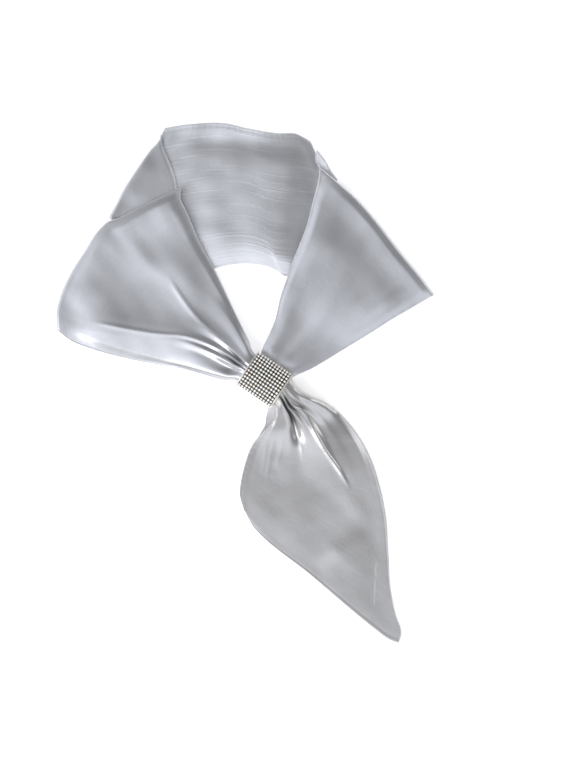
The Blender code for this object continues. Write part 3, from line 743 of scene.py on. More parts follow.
@dataclass
class GatheredCloth(FoldedCloth):
    """A stretch that opens out from the ring: a gathered bundle there, and a pleated sheet farther off.

    middle_lift is how far its middle clears what it lies on, and clear_of_ring how far from the ring's
    mouth its creases begin.
    """

    gather: Gather = field(default_factory=lambda: Gather(5.0, 20.0, 14.0, []))
    has_fold: bool = True
    middle_lift: float = 0.0
    clear_of_ring: float = 12.0

    def pleat_rows(self, distance: float, place: np.ndarray) -> tuple[np.ndarray, np.ndarray]:
        """Where the columns run across the strip at one distance from the ring's mouth, and how high.

        Args:
            distance: how far the row is from the ring's mouth.
            place: the columns' places, as shares across that don't change along the stretch.

        Returns:
            The columns' shares across at this distance, and the pleats' height at each.
        """
        pleats = self.gather.pleats
        spread = smooth_step(distance / (self.stretch.length - self.stretch.hidden))
        grown = 0.25 + 0.75 * smooth_step(distance / self.gather.pleat_start)
        beyond = max(distance - self.gather.pleat_start, 0.0)
        stops = np.array([p.at_ring + (p.far_off - p.at_ring) * spread for p in pleats])
        heights = np.array([p.height * grown * math.exp(-((beyond / p.reach) ** 1.5)) for p in pleats])
        knots = np.array([(p.at_ring + p.far_off) / 2 for p in pleats])
        left = np.clip(np.searchsorted(knots, place, side="right") - 1, 0, len(knots) - 2)
        share = (place - knots[left]) / (knots[left + 1] - knots[left])
        v = stops[left] + (stops[left + 1] - stops[left]) * share
        lift = heights[left] + (heights[left + 1] - heights[left]) * smooth_step(share)
        return np.clip(v, 0.0, 1.0), lift

    def faces(self) -> tuple[np.ndarray, np.ndarray, np.ndarray]:
        """Works out the stretch from the middle of the ring to its far end."""
        surface = self.stretch.surface()
        place = edged_shares(STRIP_WIDTH, self.columns)
        us, points, lifts, distances, columns = [], [], [], [], []
        for share in edged_shares(self.stretch.length, self.rows, True, not self.has_fold):
            distance = max(share * self.stretch.length - self.stretch.hidden, 0.0)
            v, lift = self.pleat_rows(distance, place)
            if self.has_fold:
                u, row = self.before_fold(surface, share, v)
            else:
                u = np.full_like(v, share)
                row = surface(u, v)
            us.append(u)
            points.append(row)
            lifts.append(lift)
            distances.append(np.full_like(v, distance))
            columns.append(v)
        if self.has_fold:
            fold_us, fold_points = self.fold_rows(surface, columns[-1])
            us += fold_us
            points += fold_points
            lifts += [lifts[-1] * 0.0] * len(fold_us)
            distances += [distances[-1]] * len(fold_us)
            columns += [columns[-1]] * len(fold_us)
        u, v, middle, lift, distance = map(np.array, (us, columns, points, lifts, distances))
        return self.clothed(u, v, middle, lift, distance)

    def clothed(
        self, u: np.ndarray, v: np.ndarray, middle: np.ndarray, lift: np.ndarray, distance: np.ndarray
    ) -> tuple[np.ndarray, np.ndarray, np.ndarray]:
        """Gives the stretch its folds, its bundle and its two faces.

        Args:
            u: shares along.
            v: shares across.
            middle: the middle of the smooth cloth.
            lift: the pleats' heights.
            distance: distances from the ring's mouth.

        Returns:
            The outer face, the inner face and the flat coordinates.
        """
        far_fade = smooth_step((1 - u) / PLEATS_END)
        out_of_ring = smooth_step(distance / self.clear_of_ring)
        across = np.minimum(v, 1 - v)
        clear_below = self.middle_lift * smooth_step(across / LIFT_EDGE) * smooth_step((1 - u) / LIFT_END)
        waves = gentle_waves(middle, self.seed, self.wave_size) * smooth_step(across / WAVES_EDGE)
        laid = crease_heights(self.creases, middle) + dome_heights(self.domes, middle)
        form = clear_below + (waves + laid) * smooth_step((1 - u) / CREASES_END)
        middle = middle.copy()
        middle[..., 2] += form * out_of_ring * smooth_step(across / RELIEF_EDGE)
        rows, columns = middle.shape[:2]
        way = way_along(middle[:, columns // 2])
        flat_across = np.broadcast_to(edged_shares(STRIP_WIDTH, self.columns), (rows, columns)) * STRIP_WIDTH
        from_edge = np.minimum(flat_across, STRIP_WIDTH - flat_across)
        if self.has_fold:
            from_end = np.minimum(way, way[-1] - way)[:, None]
            hem_from = from_edge
        else:
            to_cut = (1 - u) * self.stretch.length
            from_end = np.minimum(way[:, None], to_cut)
            hem_from = np.minimum(from_edge, to_cut)
        thickness = rounded_wall(np.minimum(from_edge, from_end))
        shown = thickness / HALF_WALL
        near = np.exp(-((distance / self.gather.opens_over) ** 2))
        half = 1 - np.abs(2 * v - 1) ** BUNDLE_SQUARENESS
        body = near * self.gather.half_height * np.maximum(half, 0.0) ** (1 / BUNDLE_SQUARENESS)
        lift = lift * far_fade
        upward = np.array([0.0, 0.0, 1.0]) * near[..., None]
        normal = surface_normals(middle) * (1 - near)[..., None] + upward
        normal /= np.linalg.norm(normal, axis=2, keepdims=True)
        relief = hem_relief(hem_from) + edge_pucker(way[:, None] + 0 * v, from_edge, self.seed)
        relief = relief * out_of_ring * (1 - near)
        outer = middle + normal * (thickness + (body + lift + relief) * shown)[..., None]
        inner = middle + normal * ((lift * (1 - near) - body) * shown - thickness)[..., None]
        flat = np.stack([way[:, None] * MM + 0 * v, flat_across * MM], axis=-1)
        return outer, inner, flat


# --- Finishes -------------------------------------------------------------------------------------


def link(tree: Tree, source: Socket, target: Socket) -> None:
    """Joins two sockets."""
    tree.links.new(source, target)


def maths(tree: Tree, operation: str, first: object, second: object = 0.0) -> Socket:
    """Adds a Math node.

    Args:
        tree: the node tree.
        operation: the node's operation.
        first: a socket or a number.
        second: a socket or a number.

    Returns:
        The node's output.
    """
    node = tree.nodes.new("ShaderNodeMath")
    node.operation = operation
    for socket, value in zip(node.inputs, (first, second)):
        if isinstance(value, Socket):
            link(tree, value, socket)
        else:
            socket.default_value = float(value)
    return node.outputs[0]


def noise(tree: Tree, vector: Socket, scale: Sequence[float], detail: float = 2.0) -> Socket:
    """Adds a noise that is stretched by its own scale in each direction.

    Args:
        tree: the node tree.
        vector: the coordinates, in metres.
        scale: how many features there are in a metre each way.
        detail: the noise's detail.

    Returns:
        The noise's value.
    """
    mapping = tree.nodes.new("ShaderNodeMapping")
    mapping.inputs["Scale"].default_value = tuple(scale)
    link(tree, vector, mapping.inputs["Vector"])
    node = tree.nodes.new("ShaderNodeTexNoise")
    node.inputs["Scale"].default_value = 1.0
    node.inputs["Detail"].default_value = detail
    link(tree, mapping.outputs[0], node.inputs["Vector"])
    return node.outputs["Fac"]


def raised(tree: Tree, value: Socket, low: float, high: float) -> Socket:
    """Adds a smooth rise from 0 to 1 as a value goes from low to high."""
    node = tree.nodes.new("ShaderNodeMapRange")
    node.interpolation_type = "SMOOTHSTEP"
    node.inputs["From Min"].default_value = low
    node.inputs["From Max"].default_value = high
    link(tree, value, node.inputs["Value"])
    return node.outputs["Result"]


def satin_weave_group() -> Tree:
    """The weave that every stretch of satin shares, built once.

    Returns:
        A group whose inputs are flat coordinates and strengths, and whose outputs are a height, a tone
        mask and a roughness.
    """
    name = "satin_weave"
    if name in bpy.data.node_groups:
        return bpy.data.node_groups[name]
    tree = bpy.data.node_groups.new(name, "ShaderNodeTree")
    face = tree.interface
    face.new_socket("Flat", in_out="INPUT", socket_type="NodeSocketVector")
    for label in ("Slubs", "Cross Slubs", "Crinkle", "Base Roughness"):
        face.new_socket(label, in_out="INPUT", socket_type="NodeSocketFloat")
    for label in ("Height", "Tone", "Roughness"):
        face.new_socket(label, in_out="OUTPUT", socket_type="NodeSocketFloat")
    start = tree.nodes.new("NodeGroupInput")
    end = tree.nodes.new("NodeGroupOutput")
    flat = start.outputs["Flat"]
    threads = noise(tree, flat, (260.0, 2600.0, 1.0), 2.0)
    ribs = noise(tree, flat, (3000.0, 380.0, 1.0), 2.0)
    slubs = noise(tree, flat, (9.0, 560.0, 1.0), 3.0)
    cross_slubs = noise(tree, flat, (520.0, 55.0, 1.0), 3.0)
    crinkle = noise(tree, flat, (210.0, 330.0, 1.0), 3.0)
    cloud = noise(tree, flat, (30.0, 40.0, 1.0), 2.0)
    slub_line = raised(tree, slubs, 0.51, 0.72)
    cross_line = raised(tree, cross_slubs, 0.50, 0.75)
    slub_part = maths(tree, "MULTIPLY", slub_line, start.outputs["Slubs"])
    cross_part = maths(tree, "MULTIPLY", cross_line, start.outputs["Cross Slubs"])
    both = maths(tree, "ADD", slub_part, cross_part)
    fine = maths(tree, "ADD", maths(tree, "MULTIPLY", threads, 0.5), maths(tree, "MULTIPLY", ribs, 0.5))
    height = maths(tree, "ADD", maths(tree, "MULTIPLY", fine, 0.35), both)
    height = maths(tree, "ADD", height, maths(tree, "MULTIPLY", crinkle, start.outputs["Crinkle"]))
    link(tree, height, end.inputs["Height"])
    tone = maths(tree, "ADD", maths(tree, "MULTIPLY", cloud, 0.5), maths(tree, "MULTIPLY", both, 0.6))
    tone = maths(tree, "ADD", tone, maths(tree, "MULTIPLY", fine, 0.35))
    link(tree, tone, end.inputs["Tone"])
    rough = maths(tree, "ADD", start.outputs["Base Roughness"], maths(tree, "MULTIPLY", cloud, 0.08))
    link(tree, rough, end.inputs["Roughness"])
    return tree


def vector_maths(
    tree: Tree, operation: str, first: Socket, place: int | str, second: object
) -> dict[str, Socket]:
    """Adds a Vector Math node.

    Args:
        tree: the node tree.
        operation: the node's operation.
        first: the vector.
        place: which input takes the second value.
        second: a socket or a triple.

    Returns:
        The node's outputs.
    """
    node = tree.nodes.new("ShaderNodeVectorMath")
    node.operation = operation
    link(tree, first, node.inputs[0])
    if isinstance(second, Socket):
        link(tree, second, node.inputs[place])
    else:
        node.inputs[place].default_value = second
    return node.outputs


def attribute(tree: Tree, name: str) -> Socket:
    """Reads one of the mesh's own values."""
    node = tree.nodes.new("ShaderNodeAttribute")
    node.attribute_name = name
    return node.outputs["Fac"]


def colour_ramp(tree: Tree, source: Socket, *stops: tuple[float, Colour]) -> Socket:
    """Adds a ramp between two colours.

    Args:
        tree: the node tree.
        source: what the ramp reads.
        stops: the two positions and their colours.

    Returns:
        The ramp's colour.
    """
    ramp = tree.nodes.new("ShaderNodeValToRGB")
    for element, (position, colour) in zip(ramp.color_ramp.elements, stops):
        element.position = position
        element.color = (*colour, 1.0)
    link(tree, source, ramp.inputs["Fac"])
    return ramp.outputs["Color"]


def add_bump(tree: Tree, height: Socket, strength: float, depth: float, shader: bpy.types.Node) -> None:
    """Gives a shader a fine relief, depth metres deep."""
    bump = tree.nodes.new("ShaderNodeBump")
    set_inputs(bump, Strength=strength, Distance=depth)
    link(tree, height, bump.inputs["Height"])
    link(tree, bump.outputs["Normal"], shader.inputs["Normal"])


def set_inputs(node: bpy.types.Node, **values: object) -> None:
    """Sets a node's inputs, each named with underscores for its spaces."""
    for name, value in values.items():
        node.inputs[name.replace("_", " ")].default_value = value


def plain_material(name: str) -> tuple[bpy.types.Material, bpy.types.Node]:
    """A new material and its Principled shader."""
    material = bpy.data.materials.new(name)
    material.use_nodes = True
    return material, material.node_tree.nodes["Principled BSDF"]


@dataclass(frozen=True)
class SatinFinish:
    """Silver-grey satin, with slubs along the strip or across it, painted shade in its narrow folds and a
    painted highlight along its edges and turned folds.
    """

    name: str
    slot: str
    dark: Colour
    light: Colour
    roughness: float = 0.31
    slubs: float = 0.06
    cross_slubs: float = 0.22
    crinkle: float = 0.35
    bump: float = 0.25
    metallic: float = 0.66
    # How strongly shade is painted into narrow folds.
    painted_crease_shade: float = 0.7

    def material(self) -> bpy.types.Material:
        """The satin's material, made once."""
        if self.name in bpy.data.materials:
            return bpy.data.materials[self.name]
        material, shader = plain_material(self.name)
        tree = material.node_tree
        uv = tree.nodes.new("ShaderNodeUVMap")
        uv.uv_map = "flat_cloth"
        weave = tree.nodes.new("ShaderNodeGroup")
        weave.node_tree = satin_weave_group()
        set_inputs(weave, Slubs=self.slubs, Cross_Slubs=self.cross_slubs, Crinkle=self.crinkle)
        set_inputs(weave, Base_Roughness=self.roughness - 0.04)
        link(tree, uv.outputs["UV"], weave.inputs["Flat"])
        tone = colour_ramp(tree, weave.outputs["Tone"], (0.2, self.dark), (0.9, self.light))
        # Painted shade: the colour is darkened where the mesh's hollow value says a fold is narrow and shut.
        shut = maths(tree, "MULTIPLY", attribute(tree, "hollow"), self.painted_crease_shade)
        open_share = maths(tree, "SUBTRACT", 1.0, shut)
        shaded = vector_maths(tree, "SCALE", tone, "Scale", open_share)["Vector"]
        # Painted highlight along the edges and the turned folds: the colour is lightened and made less
        # metallic there.
        line = maths(tree, "MULTIPLY", attribute(tree, "hem"), 0.8)
        glint = maths(tree, "MULTIPLY", line, 0.22)
        link(tree, vector_maths(tree, "ADD", shaded, 1, glint)["Vector"], shader.inputs["Base Color"])
        metallic = maths(tree, "MULTIPLY", maths(tree, "SUBTRACT", 1.0, line), self.metallic)
        link(tree, metallic, shader.inputs["Metallic"])
        link(tree, weave.outputs["Roughness"], shader.inputs["Roughness"])
        add_bump(tree, weave.outputs["Height"], self.bump, 0.0004, shader)
        set_inputs(shader, Specular_IOR_Level=0.6, Sheen_Weight=0.15, Sheen_Roughness=0.4)
        return material


@dataclass(frozen=True)
class MetalFinish:
    """Bright plate, a little worn and smudged."""

    name: str
    slot: str
    colour: Colour
    worn: Colour
    roughness: float = 0.18
    metallic: float = 1.0

    def material(self) -> bpy.types.Material:
        """The metal's material, made once."""
        if self.name in bpy.data.materials:
            return bpy.data.materials[self.name]
        material, shader = plain_material(self.name)
        tree = material.node_tree
        place = tree.nodes.new("ShaderNodeTexCoord").outputs["Object"]
        smudge = noise(tree, place, (220.0, 220.0, 220.0), 3.0)
        scratches = noise(tree, place, (900.0, 2400.0, 900.0), 2.0)
        colour = colour_ramp(tree, smudge, (0.35, self.worn), (0.6, self.colour))
        link(tree, colour, shader.inputs["Base Color"])
        rough = maths(tree, "ADD", self.roughness - 0.06, maths(tree, "MULTIPLY", smudge, 0.2))
        link(tree, rough, shader.inputs["Roughness"])
        add_bump(tree, scratches, 0.08, 0.0001, shader)
        set_inputs(shader, Metallic=self.metallic)
        return material


@dataclass(frozen=True)
class StoneFinish:
    """Clear cut stones with a mirror behind them, each a little different, with a faint painted glow in
    their own colour.
    """

    name: str
    slot: str
    clear: Colour
    tinted: Colour
    roughness: float = 0.05

    def material(self) -> bpy.types.Material:
        """The stones' material, made once."""
        if self.name in bpy.data.materials:
            return bpy.data.materials[self.name]
        material, shader = plain_material(self.name)
        tree = material.node_tree
        place = tree.nodes.new("ShaderNodeTexCoord").outputs["Object"]
        each = noise(tree, place, (330.0, 330.0, 330.0), 0.0)
        colour = colour_ramp(tree, each, (0.4, self.tinted), (0.56, self.clear))
        link(tree, colour, shader.inputs["Base Color"])
        # Painted glow: the stones give off a little light in their own colour, though they are no lamps.
        link(tree, colour, shader.inputs["Emission Color"])
        set_inputs(shader, Roughness=self.roughness, Metallic=0.1, Emission_Strength=0.3)
        set_inputs(shader, Coat_Weight=1.0, Coat_Roughness=0.02)
        return material


@dataclass(frozen=True)
class TableFinish:
    """A plain pale table."""

    name: str
    colour: Colour

    def material(self) -> bpy.types.Material:
        """The table's material."""
        material, shader = plain_material(self.name)
        colour = (*self.colour, 1.0)
        set_inputs(shader, Base_Color=colour, Roughness=0.9, Specular_IOR_Level=0.0)
        set_inputs(shader, Emission_Color=colour, Emission_Strength=0.55)
        return material


# --- The scarf ring -------------------------------------------------------------------------------


@dataclass
class ScarfRing:
    """The flattened metal sleeve and the rows of cut stones wrapped round it."""

    metal: MetalFinish
    backing: MetalFinish
    stones: StoneFinish
    columns: int = 12
    rows: int = 28
    stone_rise: float = 0.8
    stone_backing: float = 0.5
    lip_length: float = 1.2
    lip_drop: float = 0.1
    sleeve_wall: float = 0.9
    stone_radius: float = 1.16
    tilt: float = 2.5

    @property
    def band_inside(self) -> float:
        """How far the band's inside lies within the stones' tips."""
        return self.stone_rise + self.stone_backing

    @property
    def sleeve_outside(self) -> float:
        """How far the sleeve's outside lies within the stones' tips."""
        return self.band_inside + SEAM_GAP

    def section(self, inset: float, count: int) -> np.ndarray:
        """Points at even spacing round one of the ring's flattened sections.

        Args:
            inset: how far inside the stones' tips.
            count: how many points.

        Returns:
            Pairs of across and up, in millimetres.
        """
        angle = np.linspace(0.0, 2 * math.pi, 2881)
        power = 2 / RING_SQUARENESS
        across = (RING_WIDTH / 2 - inset) * np.sign(np.cos(angle)) * np.abs(np.cos(angle)) ** power
        up = (RING_HEIGHT / 2 - inset) * np.sign(np.sin(angle)) * np.abs(np.sin(angle)) ** power
        way = np.concatenate([[0.0], np.cumsum(np.hypot(np.diff(across), np.diff(up)))])
        stops = way[-1] * (np.arange(count) + 0.5) / count
        return np.stack([np.interp(stops, way, across), np.interp(stops, way, up)], axis=1)

    def swept(self, name: str, profile: Sequence[Spot], count: int) -> bpy.types.Mesh:
        """A closed band swept round the ring.

        Args:
            name: the mesh's name.
            profile: the band's own section, as pairs of along and inset, in order round it.
            count: how many points round the ring.

        Returns:
            The mesh.
        """
        bm = bmesh.new()
        loops = []
        for along, inset in profile:
            points = [ring_point(along, a, RING_MIDDLE_Z + z) for a, z in self.section(inset, count)]
            verts = [bm.verts.new(Vector(p) * MM) for p in points]
            edges = [bm.edges.new((a, b)) for a, b in zip(verts, verts[1:] + verts[:1])]
            loops.append(edges)
        for first, second in zip(loops, loops[1:] + loops[:1]):
            bmesh.ops.bridge_loops(bm, edges=first + second)
        bmesh.ops.recalc_face_normals(bm, faces=bm.faces)
        mesh = bpy.data.meshes.new(name)
        bm.to_mesh(mesh)
        bm.free()
        mesh.shade_smooth()
        mesh.set_sharp_from_angle(angle=math.radians(35))
        return mesh

    def sleeve_mesh(self) -> bpy.types.Mesh:
        """The sleeve with its two rounded lips."""
        half = RING_LENGTH / 2
        inside = self.sleeve_outside + self.sleeve_wall
        lip = [
            (-half, inside),
            (-half, self.lip_drop + 0.25),
            (-half + 0.25, self.lip_drop),
            (-half + self.lip_length - 0.25, self.lip_drop),
            (-half + self.lip_length, self.lip_drop + 0.25),
            (-half + self.lip_length, self.sleeve_outside),
        ]
        other = [(-along, inset) for along, inset in reversed(lip)]
        return self.swept("ring_sleeve_metal", lip + other, 128)

    def backing_mesh(self) -> bpy.types.Mesh:
        """The band that the stones are set in."""
        half = RING_LENGTH / 2 - self.lip_length - SEAM_GAP
        profile = [
            (-half, self.band_inside),
            (-half, self.stone_rise + 0.1),
            (half, self.stone_rise + 0.1),
            (half, self.band_inside),
        ]
        return self.swept("stone_band_backing", profile, 128)

    def stone_places(self) -> list[Matrix]:
        """Where each stone sits, with its outward direction and its own slight tilt, in millimetres."""
        half = RING_LENGTH / 2 - self.lip_length - SEAM_GAP
        middles = np.linspace(-half, half, 2 * self.columns + 1)[1::2]
        section = self.section(self.stone_rise, 2 * self.rows)
        chance = np.random.default_rng(7)
        places = []
        for i in range(self.rows):
            across, up = section[2 * i + 1]
            before, after = section[2 * i], section[(2 * i + 2) % (2 * self.rows)]
            tangent = Vector((*(ACROSS * (after - before)[0]), (after - before)[1])).normalized()
            axis = Vector((*AXIS, 0.0))
            outward = axis.cross(tangent).normalized()
            away = Vector((*(ACROSS * across), up))
            if outward.dot(away) < 0:
                outward = -outward
            for along in middles:
                lean = Vector(chance.normal(0.0, math.radians(self.tilt), 3))
                up_axis = (outward + lean).normalized()
                side = axis.cross(up_axis).normalized()
                front = up_axis.cross(side)
                place = Vector(ring_point(float(along), float(across), float(RING_MIDDLE_Z + up)))
                turn = Matrix((front, side, up_axis)).transposed().to_4x4()
                places.append(Matrix.Translation(place) @ turn)
        return places

    def stones_mesh(self) -> bpy.types.Mesh:
        """The cut stones: an eight-sided crown with a flat table, on a short girdle."""
        bm = bmesh.new()
        eighth_turn = Matrix.Rotation(math.pi / 8, 4, "Z")
        levels = ((self.stone_radius, -0.1), (self.stone_radius, 0.22), (self.stone_radius * 0.58, 0.72))
        for place in self.stone_places():
            loops = []
            for radius, height in levels:
                matrix = place @ Matrix.Translation((0.0, 0.0, height)) @ eighth_turn
                made = bmesh.ops.create_circle(bm, segments=8, radius=radius, matrix=matrix, cap_ends=False)
                loops.append(list({edge for vert in made["verts"] for edge in vert.link_edges}))
            for first, second in zip(loops, loops[1:]):
                bmesh.ops.bridge_loops(bm, edges=first + second)
            for loop in (loops[0], loops[-1]):
                bmesh.ops.contextual_create(bm, geom=loop)
        bmesh.ops.scale(bm, vec=(MM, MM, MM), verts=bm.verts)
        bmesh.ops.recalc_face_normals(bm, faces=bm.faces)
        mesh = bpy.data.meshes.new("stone_band_stones")
        bm.to_mesh(mesh)
        bm.free()
        return mesh

    def build(self, shift: Vector) -> list[bpy.types.Object]:
        """Makes the ring's pieces.

        Args:
            shift: from the tables' origin to the frame's, in metres.

        Returns:
            The sleeve, the backing and the stones.
        """
        made = []
        for mesh, finish, node in (
            (self.sleeve_mesh(), self.metal, "ring_sleeve"),
            (self.backing_mesh(), self.backing, "stone_band"),
            (self.stones_mesh(), self.stones, "stone_band"),
        ):
            mesh.transform(Matrix.Translation(shift))
            mesh.materials.append(finish.material())
            piece = bpy.data.objects.new(mesh.name, mesh)
            bpy.context.scene.collection.objects.link(piece)
            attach(piece, "root")
            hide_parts(node)
            LOG.info("%s: %d faces", piece.name, len(mesh.polygons))
            made.append(piece)
        return made


# --- The studio -----------------------------------------------------------------------------------


@dataclass
class Studio:
    """A plain pale table, soft light from all round and a camera that looks straight down."""

    table: TableFinish
    frame_height: float = 703.1
    view_middle: Spot = (38.45, 0.0)
    lens: float = 85.0
    sensor: float = 36.0
    table_depth: float = 0.0004
    light_from: float = math.radians(228.0)
    overhead_stops: Sequence[Spot] = (
        (0.0, 0.7),
        (0.05, 0.4),
        (0.15, 0.08),
        (0.40, 0.10),
        (0.5, 0.37),
        (0.57, 0.92),
        (0.63, 1.30),
        (0.71, 1.15),
        (0.80, 0.50),
        (0.95, 0.40),
    )
    low_stops: Sequence[Spot] = ((0.0, 0.95), (0.28, 0.75), (0.46, 0.1), (1.0, 0.0))
    low_sides: Sequence[Spot] = ((0.0, 0.9), (0.06, 0.25), (0.3, 0.25), (0.6, 0.8), (0.9, 0.6))
    sky_strength: float = 1.0
    sky_tint: Sequence[Spot] = ((1.0, -0.035), (1.0, -0.01), (0.99, 0.07))

    def build(self, shift: Vector) -> None:
        """Makes the table, the lights and the camera.

        Args:
            shift: from the tables' origin to the frame's, in metres.
        """
        bpy.context.scene.view_settings.view_transform = "Standard"
        self.add_table()
        self.add_sky()
        self.add_lights()
        self.add_camera(shift)

    def add_table(self) -> None:
        """The table, just under the cloth."""
        bm = bmesh.new()
        bmesh.ops.create_grid(bm, x_segments=1, y_segments=1, size=4.0)
        bmesh.ops.translate(bm, verts=bm.verts, vec=(0.0, 0.0, -self.table_depth))
        mesh = bpy.data.meshes.new("table")
        bm.to_mesh(mesh)
        bm.free()
        mesh.materials.append(self.table.material())
        table = bpy.data.objects.new("table", mesh)
        bpy.context.scene.collection.objects.link(table)

    def add_sky(self) -> None:
        """A soft light from all round, brightest high up at the lower left and dim at the upper right."""
        world = bpy.data.worlds.new("studio")
        world.use_nodes = True
        bpy.context.scene.world = world
        tree = world.node_tree
        place = tree.nodes.new("ShaderNodeTexCoord").outputs["Generated"]
        split = tree.nodes.new("ShaderNodeSeparateXYZ")
        link(tree, place, split.inputs[0])
        heading = (math.cos(self.light_from) / 2, math.sin(self.light_from) / 2, 0.0)
        side = maths(tree, "ADD", vector_maths(tree, "DOT_PRODUCT", place, 1, heading)["Value"], 0.5)
        overhead = self.sky_ramp(tree, side, self.overhead_stops)
        low = self.sky_ramp(tree, split.outputs["Z"], self.low_stops)
        low = maths(tree, "MULTIPLY", low, self.sky_ramp(tree, side, self.low_sides))
        background = tree.nodes["Background"]
        tint = tree.nodes.new("ShaderNodeCombineColor")
        bright = maths(tree, "MAXIMUM", overhead, low)
        for channel, (share, gain) in zip(tint.inputs, self.sky_tint):
            shaded = maths(tree, "ADD", share, maths(tree, "MULTIPLY", bright, gain))
            link(tree, maths(tree, "MULTIPLY", bright, shaded), channel)
        link(tree, tint.outputs["Color"], background.inputs["Color"])
        background.inputs["Strength"].default_value = self.sky_strength

    def sky_ramp(self, tree: Tree, source: Socket, stops: Sequence[Spot]) -> Socket:
        """Adds a ramp of brightness.

        Args:
            tree: the world's nodes.
            source: what the ramp reads.
            stops: pairs of position and brightness.

        Returns:
            The ramp's output.
        """
        ramp = tree.nodes.new("ShaderNodeValToRGB")
        ramp.color_ramp.interpolation = "EASE"
        while len(ramp.color_ramp.elements) < len(stops):
            ramp.color_ramp.elements.new(0.5)
        for element, (position, value) in zip(ramp.color_ramp.elements, stops):
            element.position = position
            element.color = (value, value, value, 1.0)
        link(tree, source, ramp.inputs["Fac"])
        return ramp.outputs["Color"]

    def add_lights(self) -> None:
        """Two large soft lights, from the lower left and the upper right."""
        for name, spot, size, power in (
            ("key", (-1.3, -0.8, 1.5), 1.2, 16.0),
            ("fill", (1.6, 0.6, 0.9), 1.2, 6.0),
        ):
            data = bpy.data.lights.new(name, "AREA")
            data.shape = "DISK"
            data.size = size
            data.energy = power
            light = bpy.data.objects.new(name, data)
            light.location = spot
            light.rotation_euler = (-Vector(spot)).to_track_quat("-Z", "Y").to_euler()
            bpy.context.scene.collection.objects.link(light)

    def add_camera(self, shift: Vector) -> None:
        """The camera, straight over the middle of the photograph's frame."""
        data = bpy.data.cameras.new("camera")
        data.lens = self.lens
        data.sensor_width = self.sensor
        distance = self.frame_height * self.lens / self.sensor
        camera = bpy.data.objects.new("camera", data)
        camera.location = Vector((*self.view_middle, distance)) * MM + shift
        bpy.context.scene.collection.objects.link(camera)
        bpy.context.scene.camera = camera


# --- The neckerchief ------------------------------------------------------------------------------

SATIN = SatinFinish(
    name="silver_satin",
    slot="satin",
    dark=(0.60, 0.606, 0.63),
    light=(0.755, 0.765, 0.795),
)
# The tails' satin: the same cloth as the rest, in a darker and less blue copy that is painted shade.
SATIN_TAILS_SHADED = SatinFinish(
    name="silver_satin_end",
    slot="satin",
    dark=(0.572, 0.565, 0.562),
    light=(0.722, 0.715, 0.71),
)
SATIN_INSIDE = SatinFinish(
    name="silver_satin_inside",
    slot="satin_inside",
    dark=(0.71, 0.72, 0.75),
    light=(0.92, 0.93, 0.96),
    slubs=0.5,
    cross_slubs=0.05,
    bump=0.25,
)

BACK = Stretch(
    near_end=[
        (-74.5, 234.2, 0.6), (-92.5, 195.0, 0.6), (-115.0, 157.5, 0.6), (-141.0, 119.0, 0.6),
        (-160.0, 84.0, 0.6), (-164.5, 57.0, 0.6),
    ],
    far_end=[
        (59.2, 222.0, 0.6), (78.5, 183.0, 0.6), (106.0, 154.0, 0.6), (134.0, 120.0, 0.6),
        (163.5, 84.5, 0.6),
    ],
    first_edge=[
        (-74.5, 234.2, 0.6), (-62.0, 236.3, 2.2), (-46.0, 238.0, 4.2), (-22.0, 238.6, 4.6),
        (2.0, 233.7, 4.4), (29.0, 229.2, 4.0), (46.0, 228.8, 2.6), (53.0, 225.6, 1.2), (59.2, 222.0, 0.6),
    ],
    second_edge=[
        (-164.5, 57.0, 0.6), (-132.0, 74.0, 0.6), (-90.0, 91.0, 0.6), (-50.0, 102.0, 0.6),
        (-30.0, 105.2, 0.6), (-14.6, 108.6, 0.6), (3.7, 109.9, 0.6), (20.0, 107.2, 0.6), (28.5, 103.2, 0.6),
        (34.0, 98.9, 0.6), (42.0, 97.6, 0.6), (90.0, 93.0, 0.6), (163.5, 84.5, 0.6),
    ],
    length=300.0,
)

LEFT_TURN = Stretch(
    near_end=[
        (-56.0, 168.0, 2.2), (-85.0, 156.0, 2.2), (-113.0, 143.0, 2.2),
    ],
    far_end=[
        (-76.9, 234.4, 3.6), (-79.0, 224.0, 3.6), (-88.0, 213.0, 3.6), (-100.0, 196.0, 3.6),
        (-112.0, 177.5, 3.6), (-120.5, 161.0, 3.6), (-125.5, 152.5, 3.4),
    ],
    first_edge=[
        (-56.0, 168.0, 2.2), (-59.0, 176.0, 2.3), (-61.5, 190.0, 2.5), (-66.8, 205.1, 3.0),
        (-74.2, 221.6, 3.4), (-76.9, 234.4, 3.6),
    ],
    second_edge=[
        (-113.0, 143.0, 2.2), (-119.5, 147.5, 2.6), (-125.5, 152.5, 3.4),
    ],
    length=50.0,
)

RIGHT_TURN = Stretch(
    near_end=[
        (67.0, 192.0, 2.2), (73.0, 186.0, 2.2), (80.0, 180.5, 2.2),
    ],
    far_end=[
        (62.3, 217.0, 3.0), (70.5, 206.9, 2.8), (78.5, 194.0, 2.8), (84.0, 186.5, 2.6),
    ],
    first_edge=[
        (67.0, 192.0, 2.2), (64.5, 201.0, 2.5), (61.6, 207.0, 2.8), (62.3, 217.0, 3.0),
    ],
    second_edge=[
        (80.0, 180.5, 2.2), (82.0, 183.0, 2.4), (84.0, 186.5, 2.6),
    ],
    length=14.0,
)

